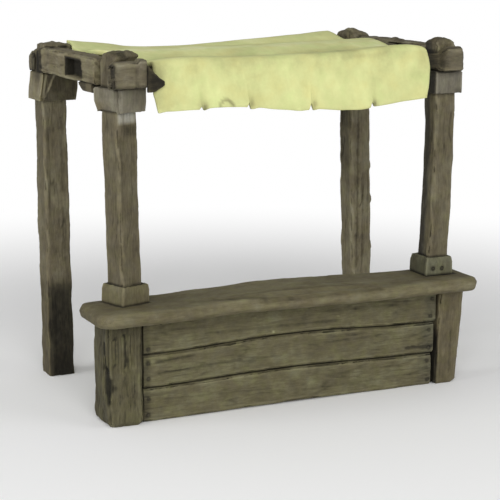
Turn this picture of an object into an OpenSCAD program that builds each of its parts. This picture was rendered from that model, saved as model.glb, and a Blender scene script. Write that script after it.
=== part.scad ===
// Tabletop model of a timber market stall: a plank-fronted counter, four
// posts with capitals, a frame of hewn beams and a draped awning.
// Millimetres, +Z up, front towards -Y, standing on z = 0.

/* [Overall] */
// Length of the counter slab, the widest piece
counter_length = 67.6; // [60:0.2:90]
// Depth from the slab's front edge to the back beam's rear face
stall_depth = 40.4; // [32:0.2:60]
// Height of the slab's top above the table, at its ends
counter_height = 18.4; // [14:0.2:26]
// Height of the capitals' tops, where the beams lie
beam_level = 51.6; // [42:0.2:75]

/* [Counter slab] */
// Thickness of the slab
slab_thickness = 2.2; // [1.2:0.1:4]
// Depth of the slab from front to back
slab_depth = 12; // [10.6:0.2:18]
// Upward bow of the slab at mid-length
slab_bow = 0.6; // [0:0.1:1.2]
// Radius of the slab's corners seen from above
slab_corner = 3; // [1.4:0.1:5]

/* [Piers] */
// Width of the left pier
left_pier_width = 5.95; // [3:0.05:8]
// Width of the right pier
right_pier_width = 4.3; // [3:0.1:8]
// Depth of both piers
pier_depth = 6.5; // [4:0.1:8]
// Overhang of the slab in front of the piers
slab_overhang = 3.5; // [1:0.1:5]
// Overhang of the slab past the left pier
left_overhang = 2.15; // [0.5:0.05:5]
// Overhang of the slab past the right pier
right_overhang = 2.15; // [0.5:0.05:5]
// Outward lean of the right pier over its height
right_pier_lean = 1.05; // [0:0.05:1.5]
// Forward flare of the left pier's foot
left_pier_flare = 0.45; // [0:0.05:1]
// Depth of the cracks carved in the left pier
crack_depth = 0.45; // [0.1:0.05:1]
// Width of those cracks
crack_width = 0.4; // [0.1:0.05:0.8]

/* [Front planks] */
// Thickness of the planks, front to back
plank_thickness = 4.5; // [1.5:0.1:6]
// Distance of the planks behind the pier fronts
plank_setback = 0.4; // [0:0.1:1.5]
// Height of the joint between the lower and middle planks, at the ends
lower_joint = 5.45; // [3:0.05:8]
// Rise of the lower joint at mid-length
lower_joint_rise = 0.5; // [0:0.05:1]
// Height of the joint between the middle and upper planks, at the ends
upper_joint = 10.75; // [8.6:0.05:12.5]
// Rise of the upper joint at mid-length
upper_joint_rise = 0.8; // [0:0.05:1.2]
// Width of the eased edge along each plank
plank_edge = 0.45; // [0.1:0.05:0.8]
// Gap at the planks' ends beside the piers
plank_end_gap = 0.3; // [0.1:0.05:0.8]

/* [Posts] */
// Width of the front left post, which is square like the others
front_left_width = 4.1; // [3:0.05:4.8]
// Width of the front right post
front_right_width = 3.85; // [3:0.05:4.6]
// Width of the back left post
back_left_width = 4.5; // [3:0.05:5]
// Width of the back right post
back_right_width = 4.3; // [3:0.05:5]
// Turn of the front left post about its own axis, in degrees
front_left_turn = 18; // [0:1:22]
// Distance from the slab's left end to the front left post's centre
front_left_inset = 6.3; // [5.6:0.05:9]
// Distance from the slab's right end to the front right post's centre
front_right_inset = 4.95; // [4.6:0.05:9]
// Distance from the slab's left end to the back left post's centre
back_left_inset = 4.95; // [3:0.05:9]
// Distance from the slab's right end to the back right post's centre
back_right_inset = 5.2; // [4.4:0.05:9]
// Distance from the slab's front edge back to the front posts' faces
front_post_setback = 5.75; // [4.4:0.05:7]
// Distance from the back beam's rear face forward to the back posts' centres
back_post_setback = 3.6; // [3.1:0.1:5]
// Lean of the front left post, its top against its foot
front_left_lean = -0.8; // [-2:0.1:2]
// Lean of the front right post
front_right_lean = 0.7; // [-2:0.1:2]
// Lean of the back left post
back_left_lean = -0.6; // [-2:0.1:2]
// Lean of the back right post
back_right_lean = -1.6; // [-2:0.1:2]
// Sideways bow of the front right post at mid-height
front_right_bow = 0.35; // [-0.6:0.05:0.6]
// Height of the front left post's top above the beams' seat
front_left_top = 5.3; // [4.9:0.05:8]
// Height of the front right post's top above the beams' seat
front_right_top = 5.35; // [4.9:0.05:8]
// Height of the back left post's top above the beams' seat
back_left_top = 4.7; // [4.2:0.05:8]
// Height of the back right post's top above the beams' seat
back_right_top = 5.05; // [4.2:0.05:8]

/* [Collars and capitals] */
// Width of the front left collar
left_collar_width = 5.3; // [4.95:0.05:7.5]
// Width of the front right collar
right_collar_width = 5.3; // [4.7:0.05:7.5]
// Height of both collars
collar_height = 3.0; // [1.5:0.1:5]
// Width of the front left capital
front_left_capital_width = 5.5; // [5.1:0.05:8]
// Width of the front right capital
front_right_capital_width = 5.2; // [5:0.05:8]
// Width of the back capitals
back_capital_width = 6.4; // [6:0.05:8]
// Shift of the back left capital towards the stall's middle
back_left_capital_shift = 0.5; // [0:0.05:0.6]
// Height of the front capitals
front_capital_height = 3.5; // [2:0.1:6]
// Height of the back capitals
back_capital_height = 4.2; // [2:0.1:6]
// Width of the seam where two boards of a capital meet
seam_width = 0.35; // [0.1:0.05:0.6]

/* [Beams] */
// Rise of the beams' seat from the left posts to the right posts
right_rise = 0.65; // [0:0.05:1.2]
// Thickness of the front beam's heads, front to back
front_beam_thickness = 2.6; // [2:0.1:4]
// Height of the front beam's heads
front_beam_height = 4.1; // [3.8:0.1:4.6]
// Length of the front beam's left head
left_head_length = 5.95; // [4.5:0.05:6.4]
// Length of the front beam's right head
right_head_length = 4.0; // [3:0.1:4.6]
// Reach of the left head past the post's centre
left_head_reach = 2.8; // [1.2:0.1:4]
// Reach of the right head past the post's centre
right_head_reach = 1.5; // [1:0.1:4]
// Rise of the left head's inner end above the rest of it
head_shoulder = 0.5; // [0:0.05:0.8]
// Depth of the upright slot in the left head's end
head_slot_depth = 0.6; // [0.1:0.05:1]
// Width of that slot
head_slot_width = 1.5; // [0.4:0.05:1.6]
// Height of the front beam between its heads
front_shaft_height = 2.7; // [1.6:0.1:2.9]
// Set-back of the front beam's face between its heads
front_shaft_setback = 1.4; // [1.2:0.1:1.8]
// Thickness of the back beam, front to back
back_beam_thickness = 3.4; // [2.6:0.1:4.5]
// Height of the back beam
back_beam_height = 2.6; // [1.6:0.1:3]
// Height of the back beam's ends, outside the posts
back_end_height = 3.3; // [2:0.1:3.6]
// Reach of the back beam past the back posts' centres
back_beam_reach = 2.7; // [2.4:0.1:4]
// Thickness of the side beams, across
side_beam_thickness = 3.6; // [2.6:0.1:4.6]
// Height of the left side beam
left_beam_height = 4.2; // [4:0.1:5]
// Height of the right side beam
right_beam_height = 3.9; // [3.8:0.1:5]
// Distance from the posts' centres out to the side beams' outer faces
side_beam_offset = 2.8; // [2:0.1:3.4]
// Width of the middle beam, front to back
middle_beam_width = 6.0; // [3:0.1:8]
// Height of the middle beam
middle_beam_height = 3.1; // [2.4:0.1:3.4]
// Height of the middle beam's tenons
tenon_height = 2.5; // [1.4:0.1:2.7]
// Depth of the tenons' ends below the side beams' outer faces
tenon_setback = 2.0; // [0.3:0.1:2.4]
// Distance of the middle beam's centre behind the stall's middle
middle_beam_shift = 0.4; // [-4:0.1:4]
// Length of the brackets under the side beams' front ends
bracket_length = 5.0; // [2:0.1:8]
// Height of those brackets
bracket_height = 1.2; // [0.6:0.1:3]

/* [Awning] */
// Thickness of the moulded cloth
cloth_thickness = 0.7; // [0.4:0.05:0.8]
// Gap between the awning and the front beam's left head
cloth_left_gap = 0.6; // [0.2:0.05:1.5]
// Gap between the awning and the front beam's right head
cloth_right_gap = 1.95; // [0.6:0.05:4]
// Outward shift of the awning's back left corner
cloth_left_splay = 1.7; // [-1:0.1:1.9]
// Outward bulge of the awning's left edge between the posts
cloth_left_bulge = 1.3; // [0:0.1:1.3]
// Outward shift of the awning's back right corner
cloth_right_splay = -0.7; // [-1.5:0.1:1]
// Inward run of the left edge down the front drop
drop_left_run = 0.8; // [0:0.05:1.5]
// Inward run of the right edge down the front drop
drop_right_run = 0.9; // [0:0.05:1.5]
// Rounding of the right edge where the cloth turns down
cloth_shoulder = 0.9; // [0:0.05:1]
// Drop of the cloth's front edge below the beams' seat, at its left end
front_drop = 3.2; // [1.4:0.1:8]
// Forward flare of that edge
front_flare = 1.5; // [0.4:0.1:2]
// Depth of the sag between the beams
cloth_sag = 1.1; // [0.2:0.1:1.6]
// Lift of the back corners towards the posts
corner_lift = 1.45; // [0:0.05:2]
// Depth of the folds in the front drop
fold_depth = 0.3; // [0:0.05:0.5]
// Height of the tears in the front edge
tear_height = 1.2; // [0.2:0.05:2]
// Width of those tears
tear_width = 0.8; // [0.3:0.05:1.2]
// Length of the wedge that pins the awning's corner
peg_length = 1.85; // [1.5:0.05:4]
// Height of that wedge at its thick end
peg_height = 2.5; // [1:0.1:3.8]
// Thickness of that wedge
peg_thickness = 0.6; // [0.3:0.05:1]

/* [Workmanship] */
// Depth of the hollows left by the hewing
hew_depth = 0.22; // [0:0.02:0.4]
// Width of the eased edges of the timbers
timber_edge = 0.45; // [0.2:0.05:0.9]
// Gap where a timber is fitted beside or round another
fit_gap = 0.15; // [0.1:0.05:0.3]

/* [Hidden] */

wood = [0.42, 0.39, 0.31];
pale_wood = [0.47, 0.45, 0.37];
cloth = [0.85, 0.86, 0.62];

half_length = counter_length / 2;
slab_front = -stall_depth / 2;
slab_mid_y = slab_front + slab_depth / 2;
pier_front = slab_front + slab_overhang;
slab_underside = counter_height - slab_thickness;
left_pier_x = -half_length + left_overhang;
right_pier_x = half_length - right_overhang;
plank_left = left_pier_x + left_pier_width + plank_end_gap;

front_left_x = -half_length + front_left_inset;
front_right_x = half_length - front_right_inset;
back_left_x = -half_length + back_left_inset;
back_right_x = half_length - back_right_inset;
front_left_reach = front_left_width / 2 * cos(front_left_turn)
    + (front_left_width / 2 - timber_edge) * sin(front_left_turn);
front_line = slab_front + front_post_setback;
front_left_y = front_line + front_left_reach;
front_right_y = front_line + front_right_width / 2;
back_y = stall_depth / 2 - back_post_setback;

front_beam_rear = front_line - fit_gap;
front_beam_face = front_beam_rear - front_beam_thickness;
front_beam_left = front_left_x - left_head_reach;
front_beam_right = front_right_x + right_head_reach;
shaft_left = front_beam_left + left_head_length;
shaft_right = front_beam_right - right_head_length;
shaft_face = front_beam_face + front_shaft_setback;
shaft_lift = 0.5;
back_beam_rear = stall_depth / 2;
back_beam_face = back_beam_rear - back_beam_thickness;
middle_y = middle_beam_shift;
middle_lift = 0.4;
tenon_lift = 0.7;
seat_gap = 0.05;
slab_wear = 0.03;

cloth_left = shaft_left + cloth_left_gap;
cloth_right = shaft_right - cloth_right_gap;
cloth_front = shaft_face - fit_gap - cloth_thickness;
cloth_rear = back_beam_face + 1.0;
cloth_rest = fit_gap / 2 + cloth_thickness;

// Shape of the awning along its width: [share of the width, millimetres or
// share of a size]; left_edge runs from front to back.
front_crest = [[0, 0.02], [0.1, 0.45], [0.33, 0.06], [0.62, 0.02], [0.72, 0.3], [0.84, 0.55],
    [0.94, 0.5], [1, 0.1]];
hem_rows = [[0, 0], [0.12, -0.05], [0.2, -0.35], [0.3, -0.15], [0.42, 0.5], [0.5, 0.88],
    [0.55, 0.75], [0.65, 1.35], [0.75, 1.3], [0.82, 0.75], [1, 0]];
tears = [[0.14, 0.5], [0.31, 0.75], [0.54, 1], [0.775, 0.75]];
left_edge = [[0, 0], [0.3, 0], [0.7, 1], [0.82, 0.95], [0.9, 0.2], [1, 0]];
back_lift = [[0, 0.85], [0.07, 0.55], [0.14, 0.26], [0.28, 0], [0.4, 0], [0.65, 0.42],
    [0.86, 0.76], [0.96, 0.97], [1, 1]];

// Level of the beams' seat on the capitals at x.
function seat(x) = beam_level
    + right_rise * (x - front_left_x) / (front_right_x - front_left_x);

// Uneven rhythm of hand work, between -1 and 1.
function wander(t, seed) = 0.5 * sin(t * 41 + seed * 57) + 0.3 * sin(t * 83 + seed * 131)
    + 0.2 * sin(t * 157 + seed * 211);

// A smooth ramp from 0 to 1.
function ease(t) = let (u = min(1, max(0, t))) u * u * (3 - 2 * u);

// Smooth reading of a table of [position, value] pairs.
function blend(t, rows, i = 0) = t <= rows[0][0] ? rows[0][1]
    : i >= len(rows) - 1 ? rows[len(rows) - 1][1]
    : t <= rows[i + 1][0]
        ? rows[i][1] + (rows[i + 1][1] - rows[i][1])
            * ease((t - rows[i][0]) / (rows[i + 1][0] - rows[i][0]))
        : blend(t, rows, i + 1);

// The point between a and b at share t.
function mix(a, b, t) = a + (b - a) * t;

// Arch of a bowed board, 1 at mid-length and 0 at the collars and piers.
arch_half = min(-plank_left, right_pier_x - right_pier_width - right_pier_lean - plank_end_gap,
    -front_left_x + front_left_lean - left_collar_width * 0.62,
    front_right_x - front_right_lean - right_collar_width / 2) - 0.4;
function arch(x) = abs(x) >= arch_half ? 0 : pow(1 - pow(x / arch_half, 2), 2);

// Skin over a stack of rings that hold the same number of points.
module loft(rings) {
    count = len(rings[0]);
    points = [for (ring = rings) each ring];
    sides = [for (r = [0 : len(rings) - 2], k = [0 : count - 1])
        let (a = r * count + k, b = r * count + (k + 1) % count)
        each [[a, a + count, b], [b, a + count, b + count]]];
    foot = [for (k = [0 : count - 1]) k];
    head = [for (k = [count - 1 : -1 : 0]) (len(rings) - 1) * count + k];
    polyhedron(points, concat(sides, [foot, head]), convexity = 6);
}

// Section of a timber at height z, from its four limits, with eased corners
// and sides hollowed inwards by the hewing.
function timber_ring(z, x0, x1, y0, y1, edge, depth, seed, turn) =
    let (wide = [y1 - y0, x1 - x0], mid = [(x0 + x1) / 2, (y0 + y1) / 2])
    [for (s = [0 : 3])
        let (run = wide[s % 2] / 2, reach = wide[(s + 1) % 2] / 2)
        for (k = [0 : 3])
            let (along = [-run + edge, -run / 3, run / 3, run - edge][k],
                dent = depth * (0.5 + 0.5 * wander(z * 0.9 + k * 2.1, seed + s * 3)),
                out = reach - dent,
                p = s == 0 ? [out, along] : s == 1 ? [-along, out]
                    : s == 2 ? [-out, -along] : [along, -out])
            [mid[0] + p[0] * cos(turn) - p[1] * sin(turn),
                mid[1] + p[0] * sin(turn) + p[1] * cos(turn), z]];

// Hewn timber standing along Z. Each key is [z, x0, x1, y0, y1].
module timber(keys, seed, edge = timber_edge, depth = hew_depth, turn = 0) {
    pitch = 2.7;
    column = function (j) [for (key = keys) [key[0], key[j]]];
    heights = [for (i = [0 : len(keys) - 2])
        let (a = keys[i][0], b = keys[i + 1][0], n = max(1, round((b - a) / pitch)))
        for (k = [0 : n - 1]) mix(a, b, k / n), keys[len(keys) - 1][0]];
    loft([for (z = heights) timber_ring(z, lookup(z, column(1)), lookup(z, column(2)),
        lookup(z, column(3)), lookup(z, column(4)), edge, depth, seed, turn)]);
}

// The same along X, with keys [x, y0, y1, z0, z1].
module timber_x(keys, seed, edge = timber_edge, depth = hew_depth)
    rotate([90, 0, 90]) timber(keys, seed, edge, depth);

// The same along Y, with keys [y, x0, x1, z0, z1].
module timber_y(keys, seed, edge = timber_edge, depth = hew_depth)
    rotate([90, 0, 180])
        timber([for (k = keys) [k[0], -k[2], -k[1], k[3], k[4]]], seed, edge, depth);

// Box from its limits.
module box(x0, x1, y0, y1, z0, z1)
    translate([x0, y0, z0]) cube([x1 - x0, y1 - y0, z1 - z0]);

// Slab section at x: bullnosed edges, faces worn faintly hollow, ends drawn in
// to round the corners.
function slab_ring(x) =
    let (from_end = half_length - abs(x), round_z = slab_thickness / 2,
        pull = from_end < slab_corner
            ? slab_corner - sqrt(pow(slab_corner, 2) - pow(slab_corner - from_end, 2)) : 0,
        thin = from_end < round_z
            ? round_z - sqrt(pow(round_z, 2) - pow(round_z - from_end, 2)) : 0,
        half_y = slab_depth / 2 - pull, half_z = round_z - thin * 0.8,
        z = slab_underside + slab_thickness / 2 + slab_bow * arch(x))
    [for (s = [1, -1]) each concat(
        [for (a = [-90 : 30 : 90]) [x, slab_mid_y + s * (half_y - half_z + half_z * cos(a)),
            z + s * half_z * sin(a)]],
        [for (f = [0.45, 0, -0.45]) [x, slab_mid_y + s * f * half_y,
            z + s * (half_z - slab_wear * (1 - f * f))]])];

module counter_top() {
    tip = [0, 0.12, 0.4, 0.9, 1.5, 2.2];
    inner = half_length - slab_corner - 0.4;
    stations = concat([for (t = tip) -half_length + t * slab_corner / 3],
        [for (i = [0 : 18]) -inner + i * inner / 9],
        [for (i = [5 : -1 : 0]) half_length - tip[i] * slab_corner / 3]);
    color(wood) loft([for (x = stations) slab_ring(x)]);
}

// One carved crack in a face that looks towards -Y.
module crack(x, z0, z1, y)
    translate([x, y, (z0 + z1) / 2])
        rotate([0, 90, 0]) linear_extrude(crack_width, center = true)
            polygon([[-(z1 - z0) / 2, -0.3], [-(z1 - z0) / 3, crack_depth],
                [(z1 - z0) / 3, crack_depth], [(z1 - z0) / 2, -0.3]]);

module left_pier() {
    x0 = left_pier_x;
    x1 = x0 + left_pier_width;
    y0 = pier_front;
    y1 = y0 + pier_depth;
    top = slab_underside;
    color(wood) difference() {
        timber([[0, x0 + 0.7, x1 - 0.3, y0 - left_pier_flare + 0.5, y1 - 0.4],
            [0.5, x0 + 0.2, x1 - 0.05, y0 - left_pier_flare + 0.1, y1],
            [1.6, x0, x1, y0 - left_pier_flare, y1], [top * 0.35, x0, x1, y0, y1],
            [top, x0, x1, y0, y1]], 11, 0.7, hew_depth);
        crack(x0 + left_pier_width * 0.2, top * 0.58, top * 0.88, y0);
        crack(x0 + left_pier_width * 0.45, top * 0.45, top * 0.93, y0);
        crack(x0 + left_pier_width * 0.72, top * 0.5, top * 0.94, y0);
        translate([x0, y0 + pier_depth * 0.28, 0]) rotate([0, 0, -90])
            crack(0, top * 0.2, top * 0.75, 0);
    }
}

// Left face of the right pier at height z.
function right_pier_face(z) =
    right_pier_x - right_pier_width - right_pier_lean * (1 - z / slab_underside);

module right_pier() {
    x1 = right_pier_x;
    x0 = x1 - right_pier_width;
    y0 = pier_front;
    y1 = y0 + pier_depth;
    lean = right_pier_lean;
    color(wood) timber([[0, x0 - lean + 0.2, x1 - lean - 0.4, y0 + 0.3, y1 - 0.3],
        [0.5, x0 - lean, x1 - lean, y0, y1], [slab_underside, x0, x1, y0, y1]], 23);
}

// Plank along X between two joints that rise at mid-length.
module plank(low, low_rise, high, high_rise, seed) {
    x0 = plank_left;
    x1 = right_pier_face(low) - plank_end_gap;
    y0 = pier_front + plank_setback;
    y1 = y0 + plank_thickness;
    edge = plank_edge;
    ring = function (x) let (a = low + low_rise * arch(x),
        b = high + high_rise * arch(x),
        d = [for (k = [0 : 2]) hew_depth * (0.5 + 0.5 * wander(x * 0.5 + k * 3, seed))])
        [[x, y0 + edge, a], [x, y1 - edge, a], [x, y1, a + edge], [x, y1, b - edge],
            [x, y1 - edge, b], [x, y0 + edge, b], [x, y0 + d[0], b - edge],
            [x, y0 + d[1], (a + b) / 2], [x, y0 + d[2], a + edge]];
    color(pale_wood) loft([for (i = [0 : 18]) ring(mix(x0, x1, i / 18))]);
}

module lower_front_plank()
    plank(0.05, 0.2, lower_joint - fit_gap / 2, lower_joint_rise, 31);

module middle_front_plank()
    plank(lower_joint + fit_gap / 2, lower_joint_rise, upper_joint - fit_gap / 2,
        upper_joint_rise, 37);

module upper_front_plank()
    plank(upper_joint + fit_gap / 2, upper_joint_rise, slab_underside - fit_gap / 2,
        slab_bow, 41);

// Centre of a post at height z: it leans and bows up to the beams and is
// plumb above them.
function post_x(top_x, lean, foot, z, bow = 0) =
    let (t = min(1, (z - foot) / (seat(top_x) - foot)))
    top_x - lean * (1 - t) + bow * 4 * t * (1 - t);

// Square post. Its knob, above the beams, is [shift x, shift y, extra half
// width, height of the slopes, shift of the peak, half width of the peak].
module post(x, y, width, foot, lean, rise, knob_foot, knob, seed, turn = 0, bow = 0) {
    half = width / 2;
    level = seat(x);
    row = function (z, h, dx, dy) let (cx = post_x(x, lean, foot, z, bow) + dx)
        [z, cx - h, cx + h, y + dy - h, y + dy + h];
    top = level + rise;
    start = level + knob_foot;
    high = top - knob[3];
    color(wood) timber([row(foot, half + (foot > 0 ? 0 : 0.08), 0, 0),
        for (i = [1 : 4]) row(mix(foot, level, i / 4), half, 0, 0),
        row(start, half, 0, 0),
        row(mix(start, high, 0.4), half + knob[2], knob[0], knob[1]),
        row(high, half + knob[2] * 0.6, knob[0], knob[1]),
        row(mix(high, top, 0.6), mix(half, knob[5], 0.45), knob[0] + knob[4] * 0.4, knob[1]),
        row(top, knob[5], knob[0] + knob[4], knob[1])], seed, timber_edge, hew_depth, turn);
}

module front_left_post()
    post(front_left_x, front_left_y, front_left_width, counter_height, front_left_lean,
        front_left_top, front_beam_height + seat_gap, [0.35, -0.3, 0.1, 0.45, 0, 1.5], 3,
        turn = front_left_turn);

module front_right_post()
    post(front_right_x, front_right_y, front_right_width, counter_height, front_right_lean,
        front_right_top, front_beam_height + seat_gap, [-0.25, 0, 0, 0.75, 0, 0.7], 5,
        bow = front_right_bow);

module back_left_post()
    post(back_left_x, back_y, back_left_width, 0, back_left_lean, back_left_top,
        back_end_height + seat_gap, [0.65, 0, 0.05, 0.4, 0, 1.5], 7);

module back_right_post()
    post(back_right_x, back_y, back_right_width, 0, back_right_lean, back_right_top,
        back_end_height + seat_gap, [-0.3, 0, 0, 1.2, -0.5, 0.6], 13);

// Block round a post, bored for it and turned with it. Each row is [reach to
// the left, reach to the right, height]; front and back take the right one.
// The block, but not its bore, is moved to the right by shift.
module post_block(x, y, post_width, rows, turn, shift = 0) {
    across = concat([for (r = rows) [shift + r[1], r[2]]],
        [for (i = [len(rows) - 1 : -1 : 0]) [shift - rows[i][0], rows[i][2]]]);
    along = concat([for (r = rows) [r[1], r[2]]],
        [for (i = [len(rows) - 1 : -1 : 0]) [-rows[i][1], rows[i][2]]]);
    wide = max([for (r = rows) max(r[0], r[1])]) + shift + 1;
    hole = post_width / 2 + fit_gap;
    z0 = rows[0][2] - 1;
    z1 = rows[len(rows) - 1][2] + 1;
    translate([x, y, 0]) rotate([0, 0, turn]) difference() {
        intersection() {
            rotate([90, 0, 0]) linear_extrude(2 * wide, center = true) polygon(across);
            rotate([90, 0, 90]) linear_extrude(2 * wide, center = true) polygon(along);
        }
        box(-hole, hole, -hole, hole, z0, z1);
    }
}

// Collar of boards round a post's foot, its top edge sloped off.
module collar(top_x, y, lean, bow, width, post_width, turn) {
    x = post_x(top_x, lean, counter_height, counter_height + collar_height / 2, bow);
    h = width / 2;
    z0 = counter_height;
    z1 = z0 + collar_height;
    slope = (h - post_width / 2 - fit_gap) * 0.6;
    color(wood) post_block(x, y, post_width, [[h - 0.05, h - 0.05, z0], [h, h, z0 + 0.3],
        [h - slope * 0.3, h, mix(z0, z1, 0.7)], [h - slope, h - slope * 0.4, z1 - slope * 0.5],
        [h - slope, h - slope, z1]], turn);
}

module front_left_collar()
    collar(front_left_x, front_left_y, front_left_lean, 0, left_collar_width,
        front_left_width, front_left_turn);

module front_right_collar()
    collar(front_right_x, front_right_y, front_right_lean, front_right_bow,
        right_collar_width, front_right_width, 0);

// Capital of four boards nailed round a post, with a seam at each corner.
// left_in and right_in are the inward tapers of its sides at the foot.
module capital(top_x, y, lean, foot, width, height, post_width, left_in, right_in, turn = 0,
        shift = 0) {
    z1 = seat(top_x);
    z0 = z1 - height;
    x = post_x(top_x, lean, foot, (z0 + z1) / 2);
    h = width / 2;
    board = h - post_width / 2 - fit_gap;
    color(wood) difference() {
        post_block(x, y, post_width, [[h - left_in, h - right_in, z0],
            [h - left_in * 0.15, h, mix(z0, z1, 0.4)], [h, h, z1 - 0.2],
            [h - 0.2, h - 0.2, z1]], turn, shift);
        for (a = [0 : 90 : 270])
            translate([x, y, 0]) rotate([0, 0, a + turn])
                translate([board - h, -h - 1, z0 - 1])
                    cube([seam_width, 1 + board * 0.5, height + 2]);
    }
}

module front_left_capital()
    capital(front_left_x, front_left_y, front_left_lean, counter_height,
        front_left_capital_width, front_capital_height, front_left_width, 0.6, 0.1,
        turn = front_left_turn);

module front_right_capital()
    capital(front_right_x, front_right_y, front_right_lean, counter_height,
        front_right_capital_width, front_capital_height, front_right_width, 0, 0);

module back_left_capital()
    capital(back_left_x, back_y, back_left_lean, 0, back_capital_width,
        back_capital_height, back_left_width, -0.1, 0.3, shift = back_left_capital_shift);

module back_right_capital()
    capital(back_right_x, back_y, back_right_lean, 0, back_capital_width,
        back_capital_height, back_right_width, 0.2, 0.2);

// Front beam with a thick head on each capital and a slimmer run between.
module front_beam() {
    y0 = front_beam_face;
    y1 = front_beam_rear;
    head = function (x, cut, lift = 0, rise = 0) [x, y0 + cut, y1 - cut / 2,
        seat(x) + seat_gap + lift, seat(x) + front_beam_height + rise - cut - lift * 2];
    run = function (x) [x, shaft_face, y1, seat(x) + shaft_lift,
        seat(x) + shaft_lift + front_shaft_height];
    slot_y = y0 + 0.35;
    color(wood) difference() {
        timber_x([head(front_beam_left, 0.5), head(front_beam_left + 0.6, 0),
            head(shaft_left - 2.2, 0), head(shaft_left - 1.95, 0.25),
            head(shaft_left - 1.7, 0.1, 0, head_shoulder),
            head(shaft_left - 0.5, 0.15, 0, head_shoulder), head(shaft_left - 0.1, 0.5, 0.2),
            run(shaft_left), run(shaft_right),
            head(shaft_right + 0.4, 0.3), head(shaft_right + 1, 0),
            head(front_beam_right - 0.5, 0), head(front_beam_right, 0.45)], 81);
        box(front_beam_left - 1, front_beam_left + head_slot_depth, slot_y,
            slot_y + head_slot_width, beam_level + 0.3, beam_level + front_beam_height - 0.8);
    }
}

// Back beam, halved round the back posts.
module back_beam() {
    x0 = back_left_x - back_beam_reach;
    x1 = back_right_x + back_beam_reach;
    row = function (x, height, cut) [x, back_beam_face + cut, back_beam_rear - cut / 3,
        seat(x) + seat_gap, seat(x) + height - cut];
    color(wood) difference() {
        timber_x([row(x0, back_end_height, 0.6), row(x0 + 0.5, back_end_height, 0),
            row(back_left_x, back_end_height, 0),
            row(back_left_x + back_left_width / 2 + 1, back_beam_height, 0),
            row(back_right_x - back_right_width / 2 - 1, back_beam_height, 0),
            row(back_right_x, back_end_height, 0),
            row(x1 - 0.5, back_end_height, 0), row(x1, back_end_height, 0.6)],
            87, timber_edge, hew_depth * 0.8);
        for (p = [[back_left_x, back_left_width], [back_right_x, back_right_width]])
            let (reach = p[1] / 2 + fit_gap)
                box(p[0] - reach, p[0] + reach, back_beam_face - 1, back_y + reach,
                    beam_level - 1, beam_level + right_rise + back_end_height + 1);
    }
}

// Outer face of a side beam at y, from the two posts that it joins.
function side_face(s, y) =
    let (a = s < 0 ? front_left_x : front_right_x, b = s < 0 ? back_left_x : back_right_x,
        t = (y - front_line) / (back_y - front_line))
    mix(a, b, t) + s * side_beam_offset;

// Level of the seat of a side beam.
function side_seat(s) = seat(s < 0 ? front_left_x : front_right_x) + seat_gap;

// Side beam between a front and a back post, with a mortise for the middle beam.
module side_beam(s, height, start, end, seed) {
    z0 = side_seat(s);
    row = function (y, cut) let (a = side_face(s, y), b = a - s * side_beam_thickness)
        [y, min(a, b), max(a, b), z0, z0 + height - cut];
    half = middle_beam_width / 2 + fit_gap;
    face = side_face(s, middle_y);
    hole_z = z0 + tenon_lift;
    color(wood) difference() {
        timber_y([row(start, 0.3), row(start + 0.8, 0), row(end - 0.8, 0), row(end, 0.3)],
            seed);
        box(face - side_beam_thickness * 2, face + side_beam_thickness * 2, middle_y - half,
            middle_y + half, hole_z - fit_gap, hole_z + tenon_height + fit_gap);
    }
}

module left_side_beam()
    side_beam(-1, left_beam_height, front_left_y + front_left_reach + fit_gap,
        back_y - back_left_width / 2 - fit_gap, 91);

module right_side_beam()
    side_beam(1, right_beam_height, front_right_y + front_right_width / 2 + fit_gap,
        back_y - back_right_width / 2 - fit_gap, 93);

// Middle beam, its tenons lying in the side beams' mortises.
module middle_beam() {
    half = middle_beam_width / 2;
    y0 = middle_y - half;
    y1 = middle_y + half;
    inner = function (s) let (a = side_face(s, y0), b = side_face(s, y1))
        s < 0 ? max(a, b) + side_beam_thickness + fit_gap
        : min(a, b) - side_beam_thickness - fit_gap;
    tip = function (s) side_face(s, middle_y) - s * tenon_setback;
    row = function (x) [x, y0, y1, seat(x) + middle_lift,
        seat(x) + middle_lift + middle_beam_height];
    left_z = side_seat(-1) + tenon_lift;
    right_z = side_seat(1) + tenon_lift;
    color(wood) {
        timber_x([row(inner(-1)), row(inner(1))], 97, timber_edge, hew_depth * 0.7);
        box(tip(-1), inner(-1) + 0.5, y0, y1, left_z, left_z + tenon_height);
        box(inner(1) - 0.5, tip(1), y0, y1, right_z, right_z + tenon_height);
    }
}

// Bracket under a side beam, set against the back of the front capital.
module bracket(s, start) {
    z1 = side_seat(s);
    row = function (y, cut) let (a = side_face(s, y), b = a - s * (side_beam_thickness - 0.6))
        [y, min(a, b), max(a, b), z1 - bracket_height + cut, z1];
    color(wood) timber_y([row(start, 0), row(start + bracket_length - 1.2, 0),
        row(start + bracket_length, bracket_height * 0.6)],
        101, min(0.25, bracket_height / 4), 0.08);
}

module front_left_bracket()
    bracket(-1, front_left_y + fit_gap
        + front_left_capital_width / 2 * (cos(front_left_turn) + sin(front_left_turn)));

module front_right_bracket()
    bracket(1, front_right_y + fit_gap + front_right_capital_width / 2);

// Level of the cloth's upper face where it lies on the beams or sags between;
// t is the share of its width from the left.
function roof_z(t, x, y) =
    let (u = 2 * t - 1, half = middle_beam_width / 2,
        lie_back = seat(x) + back_beam_height + cloth_rest + corner_lift * blend(t, back_lift),
        lie_mid = seat(x) + middle_lift + middle_beam_height + cloth_rest + 0.12 * u * u,
        lie_front = seat(x) + shaft_lift + front_shaft_height + cloth_rest
            + blend(t, front_crest),
        sag_front = lie_front - cloth_sag * (0.9 - 0.35 * ease(u * 2 - 1)),
        sag_back = lie_mid - cloth_sag * (1.2 - 0.5 * u * u))
    blend(y, [[front_line + 0.4, lie_front], [(front_line + middle_y - half) / 2, sag_front],
        [middle_y - half + 0.6, lie_mid], [middle_y + half - 0.6, lie_mid],
        [(middle_y + half + back_beam_face) / 2, sag_back], [cloth_rear, lie_back]]);

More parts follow.
